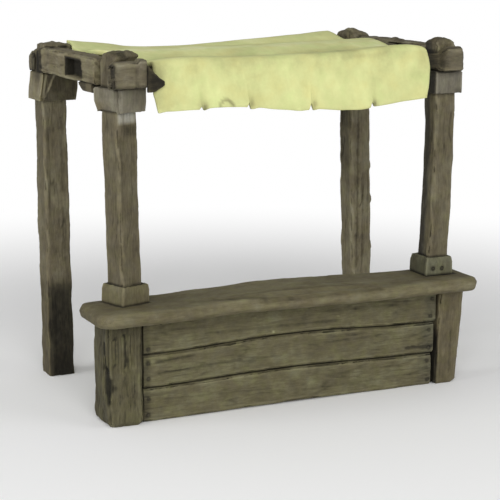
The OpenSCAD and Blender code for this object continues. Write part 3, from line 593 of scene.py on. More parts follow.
# Local marks on the pieces, as line() and zone() read them.
MARKS = {
    "counter_top": [
        # Painted light: the top faces are paler.
        zone(0.3, z=(18.3, None), tone=0.09, grey=0.1, way=UP),
        zone(0.9, y=(None, -18.6), tone=0.06),
        zone(1.4, x=(-32.5, -22), y=(-16.6, None), z=(18.4, None), tone=-0.1, way=UP),
        zone(1.2, x=(24, 32), y=(-16.8, None), z=(18.4, None), tone=-0.1, way=UP),
        zone(2.4, x=(-14, 6), y=(-16.8, None), z=(18.3, None), tone=0.05, way=UP),
        zone(2, x=(-30, -15), y=(None, -19.4), tone=-0.06),
        line(-24.6, (-20.2, -20.1), (18.5, 18.45), 0.45, 0, 0.14),
        line((-17.5, -11.5), (-16.8, -18.1), (18.6, 18.75), 0.9, -0.03, -0.1),
        line((-11.5, -6.5), (-18.1, -19.2), (18.75, 18.6), 1, -0.03, -0.12),
        line((-6.5, -2), (-19.3, -19.7), (18.6, 18.3), 0.8, -0.03, -0.12),
        line((-2, 14.2), (-19.7, -19.5), (18.3, 18.4), 0.7, -0.03, -0.11),
        line((-20, 22), (-16.3, -16.9), 19, 0.5, -0.04, -0.09),
        line((-4, 21), (-18.6, -18.2), 19, 0.4, -0.03, -0.05),
        line((2, 24), (-14.2, -14.6), 19, 0.5, -0.03, -0.08),
    ],
    "left_pier": [
        line((-31.4, -31.5), (-16.5, -15.9), (4.2, 6.6), 0.7, -0.22, -0.36),
        line((-31.4, -31.5), (-16.3, -15.8), (6.2, 8.8), 1.15, -0.26, -0.42),
        line(-31.5, (-15.8, -15.2), (8.8, 12.9), 0.6, -0.2, -0.34),
        line(-30.3, -16.8, (9.6, 13.8), 0.45, -0.12, -0.24),
        line((-28.65, -28.75), -16.8, (9.6, 14.4), 0.45, -0.2, -0.38),
        line((-28.6, -28.65), -16.8, (7.4, 9.6), 0.26, -0.12, -0.2),
        line((-27.55, -27.6), -16.8, (11.6, 14.2), 0.42, -0.15, -0.32),
        zone(1.6, z=(9.4, None), tone=-0.1, way=FRONT),
        line((-27.2, -27.3), -16.8, (3, 7), 0.3, -0.07, -0.14),
        zone(0.3, x=(None, -31.2), tone=-0.1, way=LEFT),
    ],
    "right_pier": [
        # Set back, with painted shade in the gap beside the planks' right ends.
        zone(0.15, x=(None, 27), z=(None, 12.5), depth=-0.2, tone=-0.45),
        zone(0.15, x=(None, 26.75), z=(12, None), depth=-0.1, tone=-0.4),
        line((29.3, 29.6), -16.5, (2, 9), 0.3, -0.06, -0.1),
    ],
    "lower_front_plank": [
        # Painted shade at the left end, beside the pier.
        zone(0.45, x=(None, -24.6), tone=-0.14),
        zone(1.2, x=(23.6, None), tone=-0.07, grey=0.3),
        line((-22, -4), -16.25, (3.4, 2.9), 0.25, -0.04, -0.07),
        line((2, 22), -16.25, (1.9, 2.2), 0.25, -0.04, -0.07),
    ],
    "middle_front_plank": [
        # Painted shade at the left end, beside the pier.
        zone(0.45, x=(None, -24.6), tone=-0.14),
        zone(0.9, x=(24.2, None), tone=-0.08, grey=0.3),
        line((-23.5, -17), -16.25, (9.5, 9.9), 0.4, -0.07, -0.13),
        line(-15.1, -16.3, (7.8, 8.4), 0.25, 0, 0.1),
        line((-23, -9), -16.25, (7.6, 8.3), 0.35, -0.07, -0.14),
        line((21.3, 26), -16.25, (6.85, 6.6), 0.4, -0.1, -0.22),
        line((3, 19), -16.25, (9.3, 9.6), 0.3, -0.05, -0.08),
    ],
    "upper_front_plank": [
        line((8.34, 8.39), -16.3, 13.58, 0.3, 0, 0.3),
        line((-3.34, -3.29), -16.3, 12.22, 0.3, 0, 0.3),
        # Painted light on the plank's top strip, against the counter's shadow.
        zone(0.8, z=(15.2, None), tone=0.05, way=FRONT),
        # Painted shade at the left end, beside the pier.
        zone(0.45, x=(None, -24.6), tone=-0.12),
        zone(0.9, x=(24.6, None), tone=-0.08, grey=0.3),
        line((-15, 8), -16.25, (13.2, 12.9), 0.35, -0.06, -0.1),
        line((6, 21), -16.25, (14.6, 14.4), 0.3, -0.05, -0.08),
    ],
    "front_left_post": [
        line((-27.4, -27.45), -14.7, (23.8, 30.1), 0.32, -0.1, -0.22),
        line((-26.6, -26.7), -14.5, (40.4, 44.4), 0.5, -0.05, -0.18),
        # Painted highlight: a pale glint on the front, just under the capital.
        zone(0.3, x=(-28.5, -25.5), z=(46.3, 48.4), tone=0.34, grey=1, way=FRONT),
        zone(0.4, x=(-27.4, None), z=(44.4, 46), tone=-0.14, way=FRONT),
        zone(0.25, x=(-28.5, -27.1), y=(None, -13.4), z=(56, None), depth=-0.12, tone=-0.22),
    ],
    "front_right_post": [
        # Painted shade on the back part of the left face.
        zone(0.6, y=(-12.7, None), tone=-0.22, grey=0.5, way=LEFT),
        # Painted shade in the gap between the cloth and the post's head.
        zone(0.5, x=(None, 27), z=(52, 55.6), tone=-0.4),
        line((26.9, 27), (-12.9, -12.7), (57.2, 57.5), 0.5, 0.42, -0.1),
        zone(0.4, z=(55.1, 56.4), tone=0.14, way=FRONT),
    ],
    "back_left_post": [
        # Painted shade on the lower front and left faces, below the counter's top.
        zone(1.6, z=(None, 16.6), tone=-0.22, way=FRONT),
        zone(1, z=(None, 15.4), tone=-0.18, way=FRONT),
        zone(2.5, z=(None, 17), tone=-0.1, grey=-0.2, way=LEFT),
        line(-25.9, (14.6, 16), (55.2, 55.3), 1.2, 0.6, 0),
        # Grooves under the knob, with painted shade in them.
        line((-29.9, -28.7), 14.3, 55.7, 0.42, -0.25, -0.34),
        line((-27.9, -26.8), 14.3, (55.8, 55.7), 0.42, -0.25, -0.34),
        line((-26.5, -25.7), 14.3, (55.7, 55.5), 0.42, -0.2, -0.3),
        # Painted shade in the gap between the back beam's end and the side beam.
        zone(0.2, x=(None, -30.2), y=(None, 16.9), z=(51.5, 55.3), tone=-0.5),
        line((-29.3, -29.1), 14.3, (0.5, 16), 0.35, -0.15, -0.05),
        line((-27.6, -27.7), 14.3, (20, 44), 0.35, -0.08, -0.1),
    ],
    "back_right_post": [
        line((28.6, 28.5), 14.4, (14, 44), 0.4, -0.14, -0.2),
        line((29.7, 29.6), 14.4, (16, 31), 0.35, -0.1, -0.16),
        line((30.7, 30.6), 14.4, (20, 47), 0.3, -0.1, -0.14),
        # Painted shade on the left face.
        zone(0.3, x=(None, 27), tone=-0.2),
        line((30.95, 31), 14.5, (32.9, 32.3), 0.7, 0.25, 0),
        line((31.15, 31.2), 14.5, (26.8, 26.2), 0.7, 0.28, 0),
        line((31.5, 31.55), 14.5, (18.1, 17.5), 0.6, 0.28, 0),
        zone(0.4, z=(54.6, 56.6), depth=0.22),
    ],
    "front_right_collar": [
        # Painted shade on the left face.
        zone(0.3, tone=-0.16, way=LEFT),
        line(26.66, -15.2, (19.54, 19.5), 0.45, -0.05, -0.3),
        line(28.34, -15.2, (19.49, 19.45), 0.45, -0.05, -0.3),
    ],
    "front_left_capital": [
        line(-29.1, -15.5, (51.6, 48), 0.8, -0.04, -0.24),
        line((-30.6, -30.2), (-14.2, -14.4), (50.6, 48.6), 0.8, -0.05, -0.1),
        zone(0.7, x=(None, -29.8), z=(None, 49.4), grey=-0.6),
        zone(0.3, z=(None, 47.6), tone=-0.12),
    ],
    "front_right_capital": [
        # Painted shade on the left face.
        zone(0.3, tone=-0.32, way=LEFT),
        zone(0.4, x=(29.8, None), y=(None, -14.4), z=(None, 49.4), tone=-0.14),
    ],
    "back_left_capital": [
        # Painted light on the left face and painted shade on the front face.
        zone(0.3, tone=0.2, grey=0.2, way=LEFT),
        zone(0.3, x=(-30.9, None), y=(None, 14.2), tone=-0.13, grey=0.2, way=FRONT),
        line((-30.7, -30.5), 13.3, (51.6, 47.4), 0.45, -0.1, -0.22),
        line((-28.96, -30.7), 13.3, (51.57, 47.6), 0.36, 0.12, 0.4),
        line(-31.6, (17.5, 13.6), 47.6, 0.4, 0.1, -0.05),
    ],
    "front_beam": [
        # The head's left end, set back and painted dark as shade.
        zone(0.2, x=(None, -29.8), y=(None, -15.4), z=(51.9, 55.4), depth=-0.08, tone=-0.36),
        line((-26.35, -26.3), -17.15, (52, 55.3), 0.35, -0.07, -0.12),
        zone(0.3, x=(-25.9, -24.7), y=(None, -16.6), z=(52.3, 55), depth=0.03, tone=0.07,
             way=FRONT),
        # Painted shade where the head's right end steps down to the shaft.
        zone(0.15, x=(-24.35, -22), tone=-0.34),
        # Painted shade of the cloth on the beam's right part.
        zone(1, x=(22, 25.7), tone=-0.24),
        zone(1.4, x=(22, 27), tone=-0.16, grey=-0.3),
        zone(0.2, z=(None, 52.3), tone=-0.16),
    ],
    "left_side_beam": [
        # Painted shade in the mortise.
        zone(0.1, x=(None, -28), y=(-4.4, 2.4), z=(52.25, 55.3), tone=-0.6),
        # Darker towards the back end: partly dark wash, partly painted shade in the corner.
        zone(0.25, y=(13, None), tone=-0.4),
        line(-31.4, (10.5, 6.5), (54.5, 54.7), 0.5, -0.06, -0.08),
        line((-31, -30.9), (-6.2, -8.6), (54.4, 54.6), 0.5, -0.06, -0.14),
    ],
    "front_left_bracket": [
        zone(0.2, depth=0.25, way=UP),
        zone(0.6, y=(-6.2, None), tone=-0.18),
    ],
    "front_right_bracket": [zone(0.2, depth=0.25, way=UP)],
    # Painted shade on the tenon's end inside the mortise.
    "middle_beam": [zone(0.2, x=(None, -27.2), tone=-0.6)],
    # Paler near the beam's head, so that the wedge's painted shade fades out.
    "awning_peg": [zone(0.4, x=(None, -24.4), tone=0.1)],
    "right_side_beam": [line((29, 29.2), (1.9, 3.7), 56.2, 0.9, 0.36, -0.08)],
}

# Settings that several pieces share. wrap() and add_timber() say what they mean.
PLANK = dict(axis=0, edge=0.16, along=0.4, amount=0.6, cracks=0.15, grain=0.8, moss=0.6)
COLLAR = dict(axis=2, edge=0.14, along=0.2, grain=0.2, cracks=0)
CAPITAL = dict(axis=2, edge=0.1, along=0.2, cracks=0)
BRACKET = dict(axis=1, base=0.38, edge=0.12, along=0.25, amount=0.5)
# The timbers. The seed of each is its place in this table.
PARTS = {
    "counter_top": dict(axis=0, base=0.43, moss=0.3, across=0.15, along=0.4, edge=0.6,
                        rounds=4, amount=0.6, cracks=0, grain=0.12),
    "left_pier": dict(axis=2, base=0.4, moss=0.6, along=0.3, edge=0.3, amount=0.9, cracks=0.5),
    "right_pier": dict(axis=2, base=0.43, along=0.3, amount=0.6, cracks=0, grain=0.45),
    "lower_front_plank": dict(PLANK, base=0.47),
    "middle_front_plank": dict(PLANK, base=0.45),
    "upper_front_plank": dict(PLANK, base=0.44),
    "front_left_post": dict(axis=2, base=0.4, turn=TURN, amount=0.8, cracks=0.3, grey=0.15),
    "front_right_post": dict(axis=2, base=0.43, amount=0.8, cracks=0.3, grey=0.15),
    "back_left_post": dict(axis=2, base=0.46, amount=1.1, cracks=0.4, grey=0.2),
    "back_right_post": dict(axis=2, base=0.52, amount=1.2, cracks=0.7, grey=0.2),
    "front_left_collar": dict(COLLAR, base=0.48, moss=0.4, turn=TURN, hole=0.86, amount=0.8),
    "front_right_collar": dict(COLLAR, base=0.49, moss=0.8, hole=0.76, amount=0.7, grey=0.35),
    "front_left_capital": dict(CAPITAL, base=0.54, turn=TURN, hole=0.78, amount=0.7,
                               grain=0.12, grey=0.65),
    "front_right_capital": dict(CAPITAL, base=0.46, reach=0.08, hole=0.78, amount=0.7,
                                grain=0.12, grey=0.75),
    "back_left_capital": dict(CAPITAL, base=0.42, hole=0.74, amount=0.8, grain=0.3),
    "back_right_capital": dict(CAPITAL, base=0.42, hole=0.7, amount=0.8, grain=0.4),
    "front_beam": dict(axis=0, base=0.44, reach=1.5, grey=0.3),
    "middle_beam": dict(axis=0, base=0.42, grey=0.2),
    "back_beam": dict(axis=0, base=0.43, reach=1.5, grey=0.2),
    "left_side_beam": dict(axis=1, base=0.53, reach=2.2, grey=0.1),
    "right_side_beam": dict(axis=1, base=0.44, reach=2.2, grey=0.3),
    "front_left_bracket": BRACKET,
    "front_right_bracket": BRACKET,
    # The wedge's near black is partly its own dark colour, partly painted shade between the beam's
    # head and the cloth.
    "awning_peg": dict(axis=0, base=0.04, across=0.1, along=0.15, edge=0.05, amount=0.5),
}
PLANKS = LOWER, MIDDLE, UPPER = "lower_front_plank", "middle_front_plank", "upper_front_plank"
# Small corrections of skins against the photo: axis, and the move at each point.
# The left mortise and the tenon in it sit further forward than the solids'.
FORWARD = -1.45
SHIFTS = {
    "left_side_beam": (1, lambda x, y, z: FORWARD * smooth(-6.8, -3.4, y) * smooth(7.6, 4.2, y)),
    "middle_beam": (1, lambda x, y, z: FORWARD * smooth(-26.3, -27, x)),
    "front_right_post": (0, lambda x, y, z: (
        -0.14 - 0.22 * np.maximum(smooth(28.5, 26.3, x), smooth(53.5, 55, z)))),
    "front_left_post": (0, lambda x, y, z: -0.1),
    "back_right_post": (0, lambda x, y, z: (
        (-0.08 - 0.1 * smooth(28.5, 26.3, x)) * smooth(55, 54, z))),
    "front_right_collar": (0, lambda x, y, z: -0.42),
    "front_right_capital": (0, lambda x, y, z: -0.22 * smooth(29, 31.2, x)),
    "front_left_capital": (0, lambda x, y, z: 0.28 * smooth(-27, -24.2, x)),
    "back_left_capital": (0, lambda x, y, z: 0.42 * smooth(47.8, 51.4, z) * smooth(-29, -31.3, x)),
    "left_pier": (0, lambda x, y, z: 0.18 * smooth(-27, -25.9, x)),
    "right_pier": (0, lambda x, y, z: 0.4 * smooth(29, 31.6, x)),
    **dict.fromkeys(PLANKS, (0, lambda x, y, z: -0.08 * smooth(-24.6, -25.3, x))),
    "back_beam": (0, lambda x, y, z: 0.25 * smooth(-29.5, -30.5, x)),
    "front_beam": (0, lambda x, y, z: -0.2 * smooth(29.4, 30.2, x) * smooth(54.4, 56, z)),
}
# How far the foot of a capital's skin reaches below the solid's.
LOWERED = {"back_left_capital": 0.4, "front_right_capital": 0.15, "front_left_capital": 0.15}
LOWERED_FROM, LOWERED_FULL = 49.6, 47.7
# How far the counter's front edge hangs down: x, drop
SAG = ((-10, 0), (-5.5, 0.32), (-1, 0.46), (8, 0.46), (12, 0.36), (17, 0.15), (21, 0))
SLAB_MIDDLE = 17.55  # height to which the counter's right end narrows
# The wedge, whose skin opens towards the beam more than the solid to cover painted shade there: x,
# low z, high z
PEG_X, PEG_LENGTH = -24.2, 1.85
PEG = ((-24.2, 51.2, 55.2), (-23.75, 51.45, 53.8), (-23.2, 51.8, 53.3), (-22.7, 52.05, 53.05),
       (-22.35, 52.25, 52.85))


def shape_counter(g):
    """Softens the counter's top, lets its front edge hang and rounds its right end."""
    for _ in range(6):
        g = (np.roll(g, 1, 1) + 2 * g + np.roll(g, -1, 1)) / 4
    g[..., 2] -= curve(g[..., 0], SAG) * smooth(-16.6, -18.8, g[..., 1])
    end = smooth(31.6, 33.8, g[..., 0])
    g[..., 2] += (SLAB_MIDDLE - g[..., 2]) * 0.4 * end ** 2
    g[..., 0] -= end * (0.25 + 0.5 * smooth(-17.6, -20.2, g[..., 1]))
    return g


def spread_peg(g):
    """Gives the wedge hollow flanks and a base that runs on to the beam's head, where its dark
    paint stands for shade.
    """
    x = g[..., 0].copy()
    share = (x - PEG_X) / PEG_LENGTH
    low, high = 51.7 + share * 0.8, 54.2 - share * 1.1
    t = (g[..., 2] - low) / (high - low)
    at, lows, highs = zip(*PEG)
    new_low, new_high = np.interp(x, at, lows), np.interp(x, at, highs)
    g[..., 2] = new_low + (new_high - new_low) * t
    g[..., 0] -= 0.7 * smooth(-23.6, -24.2, x)


# Nail heads: piece, x, z. The fronts of the planks and of the collar lie at these y.
PLANK_FRONT, COLLAR_FRONT = -16.25, -15.2
NAILS = [
    (MIDDLE, -24.7, 9.39), (MIDDLE, -24.7, 7), (LOWER, -24.7, 3.67), (LOWER, -24.75, 1.07),
    (UPPER, -24.7, 11.75), (UPPER, 26.05, 14.75), (UPPER, 25.75, 11.75),
    (MIDDLE, 25.5, 9.44), (MIDDLE, 25.5, 6.4), (LOWER, 25.2, 4.25), (LOWER, 25.3, 0.95),
    ("front_right_collar", 26.66, 19.54), ("front_right_collar", 28.34, 19.49),
]
SKINS = {part: None for part, _, _ in NAILS}  # the search trees of the skins under them
for part, nx, nz in NAILS:  # a dark dent round each head
    ny = PLANK_FRONT if part in PLANKS else COLLAR_FRONT
    MARKS[part].append(line(nx, ny, (nz, nz + 0.02), 0.55, -0.03, -0.3))


def add_timber(name, seed, axis, base, amount=1.0, cracks=1.0, grain=1.0, grey=0.0,
               moss=0.15, turn=0.0, **how):
    """Wraps, corrects, carves and paints a timber. The axis is that of its grain,
    base the tone of its paint, amount, cracks and grain the strength of what is
    carved, and the rest goes to wrap()."""
    grid, closed = wrap(name, axis, turn=turn, **how)
    if name in SHIFTS:
        way, move = SHIFTS[name]
        grid[..., way] += move(grid[..., 0], grid[..., 1], grid[..., 2])
    if name in LOWERED:
        grid[..., 2] -= LOWERED[name] * smooth(LOWERED_FROM, LOWERED_FULL, grid[..., 2])
    if name == "awning_peg":
        spread_peg(grid)
    if name == "counter_top":
        grid = shape_counter(grid)
    normals, normals_out = outward(grid, grid_normals(grid, closed))
    fan = np.linalg.norm(np.roll(normals, -2, 1) - np.roll(normals, 2, 1), axis=2)
    rubbed = smooth(0.25, 1.2, fan) * (0.3 if name == "counter_top" else 1.0)
    depth, wash, blot, bumps = carve(grid, normals, axis, seed, amount, cracks, turn, grain,
                                     rubbed)
    m_depth, m_tone, m_grey = marks_on(name, grid, normals)
    carved = grid + normals * (depth + m_depth)[..., None]
    tone = paint_tone(name, carved, wash, blot, bumps, base, rubbed) + m_tone
    shades = {"tone": tone, "grey": grey + m_grey + 0.1 * blot, "moss": moss + 0.3 * blot}
    points = carved.reshape(-1, 3)
    faces = grid_faces(*grid.shape[:2], closed)
    if name in SKINS:
        SKINS[name] = BVHTree.FromPolygons(points.tolist(), faces)
    if not normals_out:
        faces = [face[::-1] for face in faces]
    order = [axis] + [k for k in range(3) if k != axis]
    obj = add_wood(name + "_skin", points, faces, shades, points[:, order])
    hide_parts(name)


for seed, (name, how) in enumerate(PARTS.items(), 1):
    add_timber(name, seed, **how)

# -------- nails
NAIL_RADIUS, NAIL_HEIGHT, NAIL_SINK = 0.24, 0.1, 0.03
NAIL_SIDES, NAIL_ROWS = 14, 3
NAIL_SHADES = {"tone": 0.2, "grey": 0.3, "moss": 0.3}


def nail(name, x, y, z):
    """Small domed head on a front face."""
    verts, faces = [], []
    for r in range(NAIL_ROWS):
        a = r / NAIL_ROWS * math.pi / 2
        for k in range(NAIL_SIDES):
            t = 2 * math.pi * k / NAIL_SIDES
            verts.append((x + NAIL_RADIUS * math.cos(a) * math.cos(t),
                          y - NAIL_HEIGHT * math.sin(a),
                          z + NAIL_RADIUS * math.cos(a) * math.sin(t)))
    verts.append((x, y - NAIL_HEIGHT, z))
    last, top = (NAIL_ROWS - 1) * NAIL_SIDES, len(verts) - 1
    for low in range(0, last, NAIL_SIDES):
        high = low + NAIL_SIDES
        for k in range(NAIL_SIDES):
            k2 = (k + 1) % NAIL_SIDES
            faces.append((low + k, low + k2, high + k2, high + k))
    faces += [(last + k, last + (k + 1) % NAIL_SIDES, top) for k in range(NAIL_SIDES)]
    verts = np.array(verts)
    shades = {key: np.full(len(verts), value) for key, value in NAIL_SHADES.items()}
    add_wood(name, verts, faces, shades, verts)


for k, (part, nx, nz) in enumerate(NAILS):
    hit = SKINS[part].ray_cast(Vector((nx, -30, nz)), Vector((0, 1, 0)))
    if hit[0] is not None:
        nail(f"nail_{k + 1:02d}", nx, hit[0].y + NAIL_SINK, nz)

# -------- awning
MERGE = 2e-6  # metres between points that count as one
HEM_TOP = 0.0505  # metres; edges below it keep their crease sooner
CREASE = 0.85
# Tears in the hem: x, z, strength of the valley above
TEARS = ((-16.06, 49, 1), (-8.27, 49.4, 0.15), (2.53, 48.6, 0.3), (13.21, 48, 0.6))
# How far the hem comes down in a tear: x, drop
TEAR_FILLS = ((-16.06, 0.3), (-8.27, 0.34), (-7.6, 0.16), (2.53, 0.26))
# Moves of the edges against the photo: place along the edge, move
HEM_EDGE = ((-23, -0.38), (-22, -0.13), (-8, -0.13), (-5, -0.18), (0.5, -0.2),
            (3, -0.05), (6, 0.1), (10, 0))
BACK_EDGE = ((-22.5, 0.05), (-19, 0.2), (-15.5, -0.04), (-9.6, -0.06), (-1.4, -0.18),
             (3, -0.27), (10, -0.22), (20, -0.18), (24, -0.1))
RIGHT_EDGE = ((48.6, -0.38), (50, -0.22), (52, -0.1), (53.3, 0.1), (54.5, 0.1),
              (55.5, -0.12), (56.5, -0.5))
# Painted highlight along the ridge across the roof: x, change of tone
RIDGE_LIGHT = ((-20, 0.18), (-6, 0.2), (-3, 0.28), (3, 0.26), (5.5, 0.14), (12, 0.12), (15, 0.06),
         (18, 0))
# Darker spots on the hanging front, or paler ones: x, z, width, share. The dark ones at x -22.4 to
# -23.3, next to the wedge and the beam's head, are painted shade.
SPOTS = ((21.6, 52.4, 1.3, 0.16), (-22.4, 54.3, 1.7, 0.26), (-17.6, 52.4, 0.8, 0.1),
         (-22.6, 50, 1.3, 0.12), (-23.3, 51.7, 0.9, 0.38), (22.9, 54.8, 1.3, 0.2),
         (17.9, 53.6, 1.3, -0.13), (6, 54.3, 1.5, 0.12), (0.5, 55, 1.6, 0.09),
         (-5, 50.8, 2, -0.14), (-8, 51.2, 0.8, -0.08), (2.2, 51, 0.8, -0.12),
         (4.2, 53.2, 0.8, 0.08))


def subdivided(awning):
    """The awning's mesh as quads, with creases at its rims, subdivided twice."""
    mesh = awning.data
    bm = bmesh.new()
    bm.from_mesh(mesh)
    bmesh.ops.remove_doubles(bm, verts=bm.verts, dist=MERGE)
    bmesh.ops.join_triangles(bm, faces=bm.faces, angle_face_threshold=math.radians(30),
                             angle_shape_threshold=math.radians(60), cmp_seam=False)
    hard = bm.edges.layers.float.new("crease_edge")
    for edge in bm.edges:
        low = max(v.co.z for v in edge.verts) < HEM_TOP
        limit = math.radians(35 if low else 60)
        if len(edge.link_faces) == 2 and edge.calc_face_angle() > limit:
            edge[hard] = CREASE
    bm.to_mesh(mesh)
    bm.free()
    mesh.update()
    sub = awning.modifiers.new("smooth", "SUBSURF")
    sub.levels = sub.render_levels = 2
    evaluated = awning.evaluated_get(bpy.context.evaluated_depsgraph_get())
    fine = bpy.data.meshes.new_from_object(evaluated)
    awning.modifiers.clear()
    return fine


def half_ring(x, z, x0, z0, rx, rz):
    """Share of a thin half ring round (x0, z0)."""
    ring = np.hypot((x - x0) / rx, (z - z0) / rz)
    return smooth(0.36, 0.12, np.abs(ring - 1)) * smooth(-0.15, 0.15, z - z0)


def drape(points, normals):
    """Soft folds, and moves of the edges. Returns the moved points, and the forms
    that the tone follows too."""
    x, y, z = points.T
    front = smooth(-13.5, -16.3, y)
    folds = fbm(x / 4.6 + 3, y / 12, z / 11, 71, 2)
    soft = fbm(x / 7, y / 7, z / 8, 75, 2)
    pitted = fbm(x / 1.2, y / 1.2, z / 1.2, 77, 2)
    ring = half_ring(x, z, -12.35, 48.6, 1.08, 1.1) * smooth(0.5, 0.8, -normals[:, 1])
    valleys = front * sum(
        share * hill(x - tx, 0.05 * (z - tz), 0.9) * smooth(tz + 6, tz + 0.5, z)
        for tx, tz, share in TEARS)
    depth = 0.16 * folds * (0.3 + 0.7 * front) + 0.08 * soft + 0.02 * pitted
    depth = depth - 0.05 * ring - 0.16 * valleys
    moved = points + normals * depth[:, None]
    # The front's left corner and left edge go out, its hem up and down
    moved[:, 0] -= 0.72 * smooth(-22.6, -24.4, x) * front * smooth(54.5, 52, z)
    moved[:, 0] -= 0.44 * smooth(-21.2, -22.8, x) * front * smooth(52.3, 50.6, z)
    moved[:, 2] += front * smooth(50.6, 49, z) * curve(x, HEM_EDGE)
    for tx, drop in TEAR_FILLS:
        moved[:, 2] -= drop * hill(x, tx, 0.6) * front * smooth(51, 49.6, z)
    # The roof's back left corner, its back and its right edge
    moved[:, 2] += 0.28 * smooth(-14, -19, x) * smooth(6, 12, y)
    moved[:, 2] += smooth(4, 13, y) * curve(x, BACK_EDGE)
    moved[:, 0] -= 1.7 * smooth(12, 22, x) * smooth(-16.4, -14.4, y) * smooth(4, -4, y)
    # The brow's right end, and the front's right edge under it
    brow = smooth(-13.6, -15.6, y)
    moved[:, 2] += 0.36 * brow * smooth(14, 21, x) * smooth(53, 55.8, z)
    moved[:, 0] += brow * smooth(20, 23, x) * curve(z, RIGHT_EDGE)
    return moved, front, folds, soft, pitted, ring, valleys


def awning_tone(points, normals, near, front, folds, soft, pitted, ring, valleys):
    """Shade of the awning's paint, from its forms and from the photo's large tones."""
    x, y, z = points.T
    up = smooth(0.2, 0.9, normals[:, 2])
    # Painted shade in the trough behind the front's crest.
    trough_shade = hill(y, -11, 3.4) * smooth(-27, -20, x) * smooth(20, 13, x)
    # Painted shade at the right of each tear.
    tear_shade = front * sum(hill(x, tx + 0.25, 0.42) * hill(z, tz - 0.1, 0.75)
                        for tx, tz, _ in TEARS)
    # Painted shade along the fold from the roof to the front.
    crest_shade = hill(z, 55.2, 1.2) * front
    # Painted light on the raised pleat at the roof's right.
    pleat_light = smooth(8, 12, x) * smooth(-3, -9, y) * up
    # Painted shade that softens the brow at the front's top right.
    rise = 1.1 * smooth(15, 17.5, x)
    brow_shade = smooth(4.5, 10, x) * smooth(-12.5, -14.5, y) * smooth(54.6, 55.6, z - rise)
    # Painted highlight on the fold that crosses the roof.
    ridge = hill(y, -0.8, 2.2) * up * curve(x, RIDGE_LIGHT)
    # Painted light on the lip behind the crest.
    lip = hill(y, -15.2, 0.8) * smooth(3, -2, x) * smooth(54.6, 55.4, z)
    # Painted shade in the hollow on the roof's right half.
    hollow = hill(y, -6.3, 1.7) * smooth(1.5, 7, x) * smooth(18, 13.5, x) * up
    # Painted light along the roof's back edge.
    rear_light = smooth(12.5, 16, y) * smooth(16, 6, x) * up
    # Darker and paler spots on the front; those next to the wedge are painted shade.
    spots = front * sum(share * hill(x, sx, wide) * hill(z, sz, 1.8)
                        for sx, sz, wide, share in SPOTS)
    # Painted shade in the front's top left corner, beside the beam's head.
    corner_shade = smooth(-23, -24.3, x) * smooth(51.8, 53.2, z) * smooth(-15, -16, y)
    # Painted light and shade: paler where the roof faces up, paler on raised folds and darker in
    # dips (partly drybrush), painted shade in the fold valleys above the tears and where other
    # parts come near.
    return (0.62 + 0.12 * folds + 0.1 * soft + 0.05 * pitted + 0.12 * up * (1 - front)
            - 0.4 * trough_shade * up - 0.36 * ring - 0.42 * tear_shade - 0.07 * crest_shade
            - 0.14 * valleys + 0.12 * pleat_light - 0.6 * corner_shade - 0.12 * brow_shade - spots
            + ridge + 0.3 * lip - 0.18 * hollow + 0.1 * rear_light
            - 0.2 * (1 - smooth(0.1, 0.9, near)))


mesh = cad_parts["awning"].data.copy()
mesh.materials.clear()
awning = add_object("awning_skin", mesh)
mesh = awning.data = subdivided(awning)
points, normals = read(mesh, "co") / MM, read(mesh, "normal")
moved, *forms = drape(points, normals)
mesh.vertices.foreach_set("co", (moved * MM).reshape(-1))
mesh.update()
tone = awning_tone(points, normals, nearness(moved, "awning", 0.5), *forms)
layer = mesh.attributes.new("tone", "FLOAT", "POINT")
layer.data.foreach_set("value", np.clip(tone, 0, 1).astype(np.float32))
mesh.materials.clear()
mesh.materials.append(CLOTH_MAT)
mesh.shade_smooth()
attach(awning, "root")
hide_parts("awning")

# -------- stage
FLOOR_HALF, FLOOR_Z = 3.0, -0.00002  # metres
GLOW_FROM, GLOW_TO = 0.06, 0.17  # metres from the middle
FLOOR_WHITE = (0.92, 0.92, 0.92, 1)
WORLD_STRENGTH = 0.35
TARGET = Vector((0, 0, 0.03))  # the lamps look here
# Lamps: name, place in metres, size in metres, power in watts
LAMPS = (("key", (-0.16, -0.42, 0.24), (0.34, 0.3), 1.62),
         ("fill", (0.32, -0.32, 0.16), (0.3, 0.3), 0.5),
         ("side", (-0.45, 0.0, 0.20), (0.3, 0.3), 0.9))


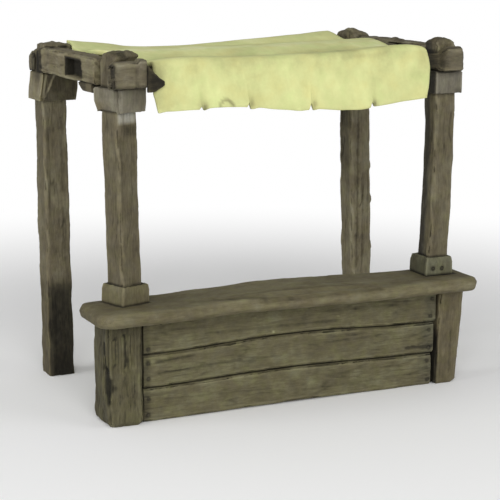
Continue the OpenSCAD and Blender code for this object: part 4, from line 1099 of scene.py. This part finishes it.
def floor():
    """Pale floor that keeps the shadow near the stall and turns to plain white
    for the camera further out."""
    mesh = bpy.data.meshes.new("floor")
    h, z = FLOOR_HALF, FLOOR_Z
    mesh.from_pydata([(-h, -h, z), (h, -h, z), (h, h, z), (-h, h, z)], [], [(0, 1, 2, 3)])
    obj = add_object("floor", mesh)
    mat = bpy.data.materials.new("floor")
    g = Graph(mat)
    length = g.add("ShaderNodeVectorMath", {0: g.place()}, operation="LENGTH")
    inputs = {"Value": length.outputs["Value"], "From Min": GLOW_FROM, "From Max": GLOW_TO}
    far = g.add("ShaderNodeMapRange", inputs, interpolation_type="SMOOTHSTEP")
    share = g.math("MULTIPLY", far.outputs["Result"], g.camera_ray())
    inputs = {0: share, 1: g.paint(FLOOR_WHITE, 0.9, 0.1),
              2: g.add("ShaderNodeEmission").outputs[0]}
    g.add("ShaderNodeOutputMaterial", {0: g.add("ShaderNodeMixShader", inputs).outputs[0]})
    mesh.materials.append(mat)


def area_light(name, place, size, power):
    """Rectangular lamp that looks at the target."""
    light = bpy.data.lights.new(name, "AREA")
    light.shape = "RECTANGLE"
    light.size, light.size_y = size
    light.energy = power
    obj = add_object(name, light)
    obj.location = place
    obj.rotation_mode = "QUATERNION"
    obj.rotation_quaternion = (TARGET - Vector(place)).to_track_quat("-Z", "Y")


def studio():
    """World that lights the stall softly and shows plain white to the camera."""
    world = bpy.data.worlds.new("studio")
    bpy.context.scene.world = world
    g = Graph(world)
    lit, seen = (g.add("ShaderNodeBackground", {"Color": (1, 1, 1, 1), "Strength": strength})
                 for strength in (WORLD_STRENGTH, 1.0))
    inputs = {0: g.camera_ray(), 1: lit.outputs[0], 2: seen.outputs[0]}
    g.add("ShaderNodeOutputWorld", {0: g.add("ShaderNodeMixShader", inputs).outputs[0]})


floor()
for lamp in LAMPS:
    area_light(*lamp)
studio()

# -------- camera
# Fitted to the photograph: where the camera stands, its angles, and its lens
PLACE = (-112.509, -238.579, 76.463)
YAW, PITCH, ROLL = (math.radians(a) for a in (25.27, 11.64, -0.27))
FOCAL_PX, PICTURE_PX, SENSOR = 1609.6, 500, 36

fwd = Vector((math.sin(YAW) * math.cos(PITCH), math.cos(YAW) * math.cos(PITCH),
              -math.sin(PITCH)))
right = Vector((math.cos(YAW), -math.sin(YAW), 0))
down = fwd.cross(right)
right_rolled = math.cos(ROLL) * right + math.sin(ROLL) * down
down_rolled = -math.sin(ROLL) * right + math.cos(ROLL) * down
cam_data = bpy.data.cameras.new("camera")
cam_data.sensor_width = SENSOR
cam_data.lens = FOCAL_PX * SENSOR / PICTURE_PX
cam_data.clip_start, cam_data.clip_end = 0.01, 20
camera = add_object("camera", cam_data)
columns = ((*right_rolled, 0), (*-down_rolled, 0), (*-fwd, 0), (*(v * MM for v in PLACE), 1))
camera.matrix_world = Matrix(columns).transposed()
bpy.context.scene.camera = camera
bpy.context.scene.view_settings.view_transform = "Standard"
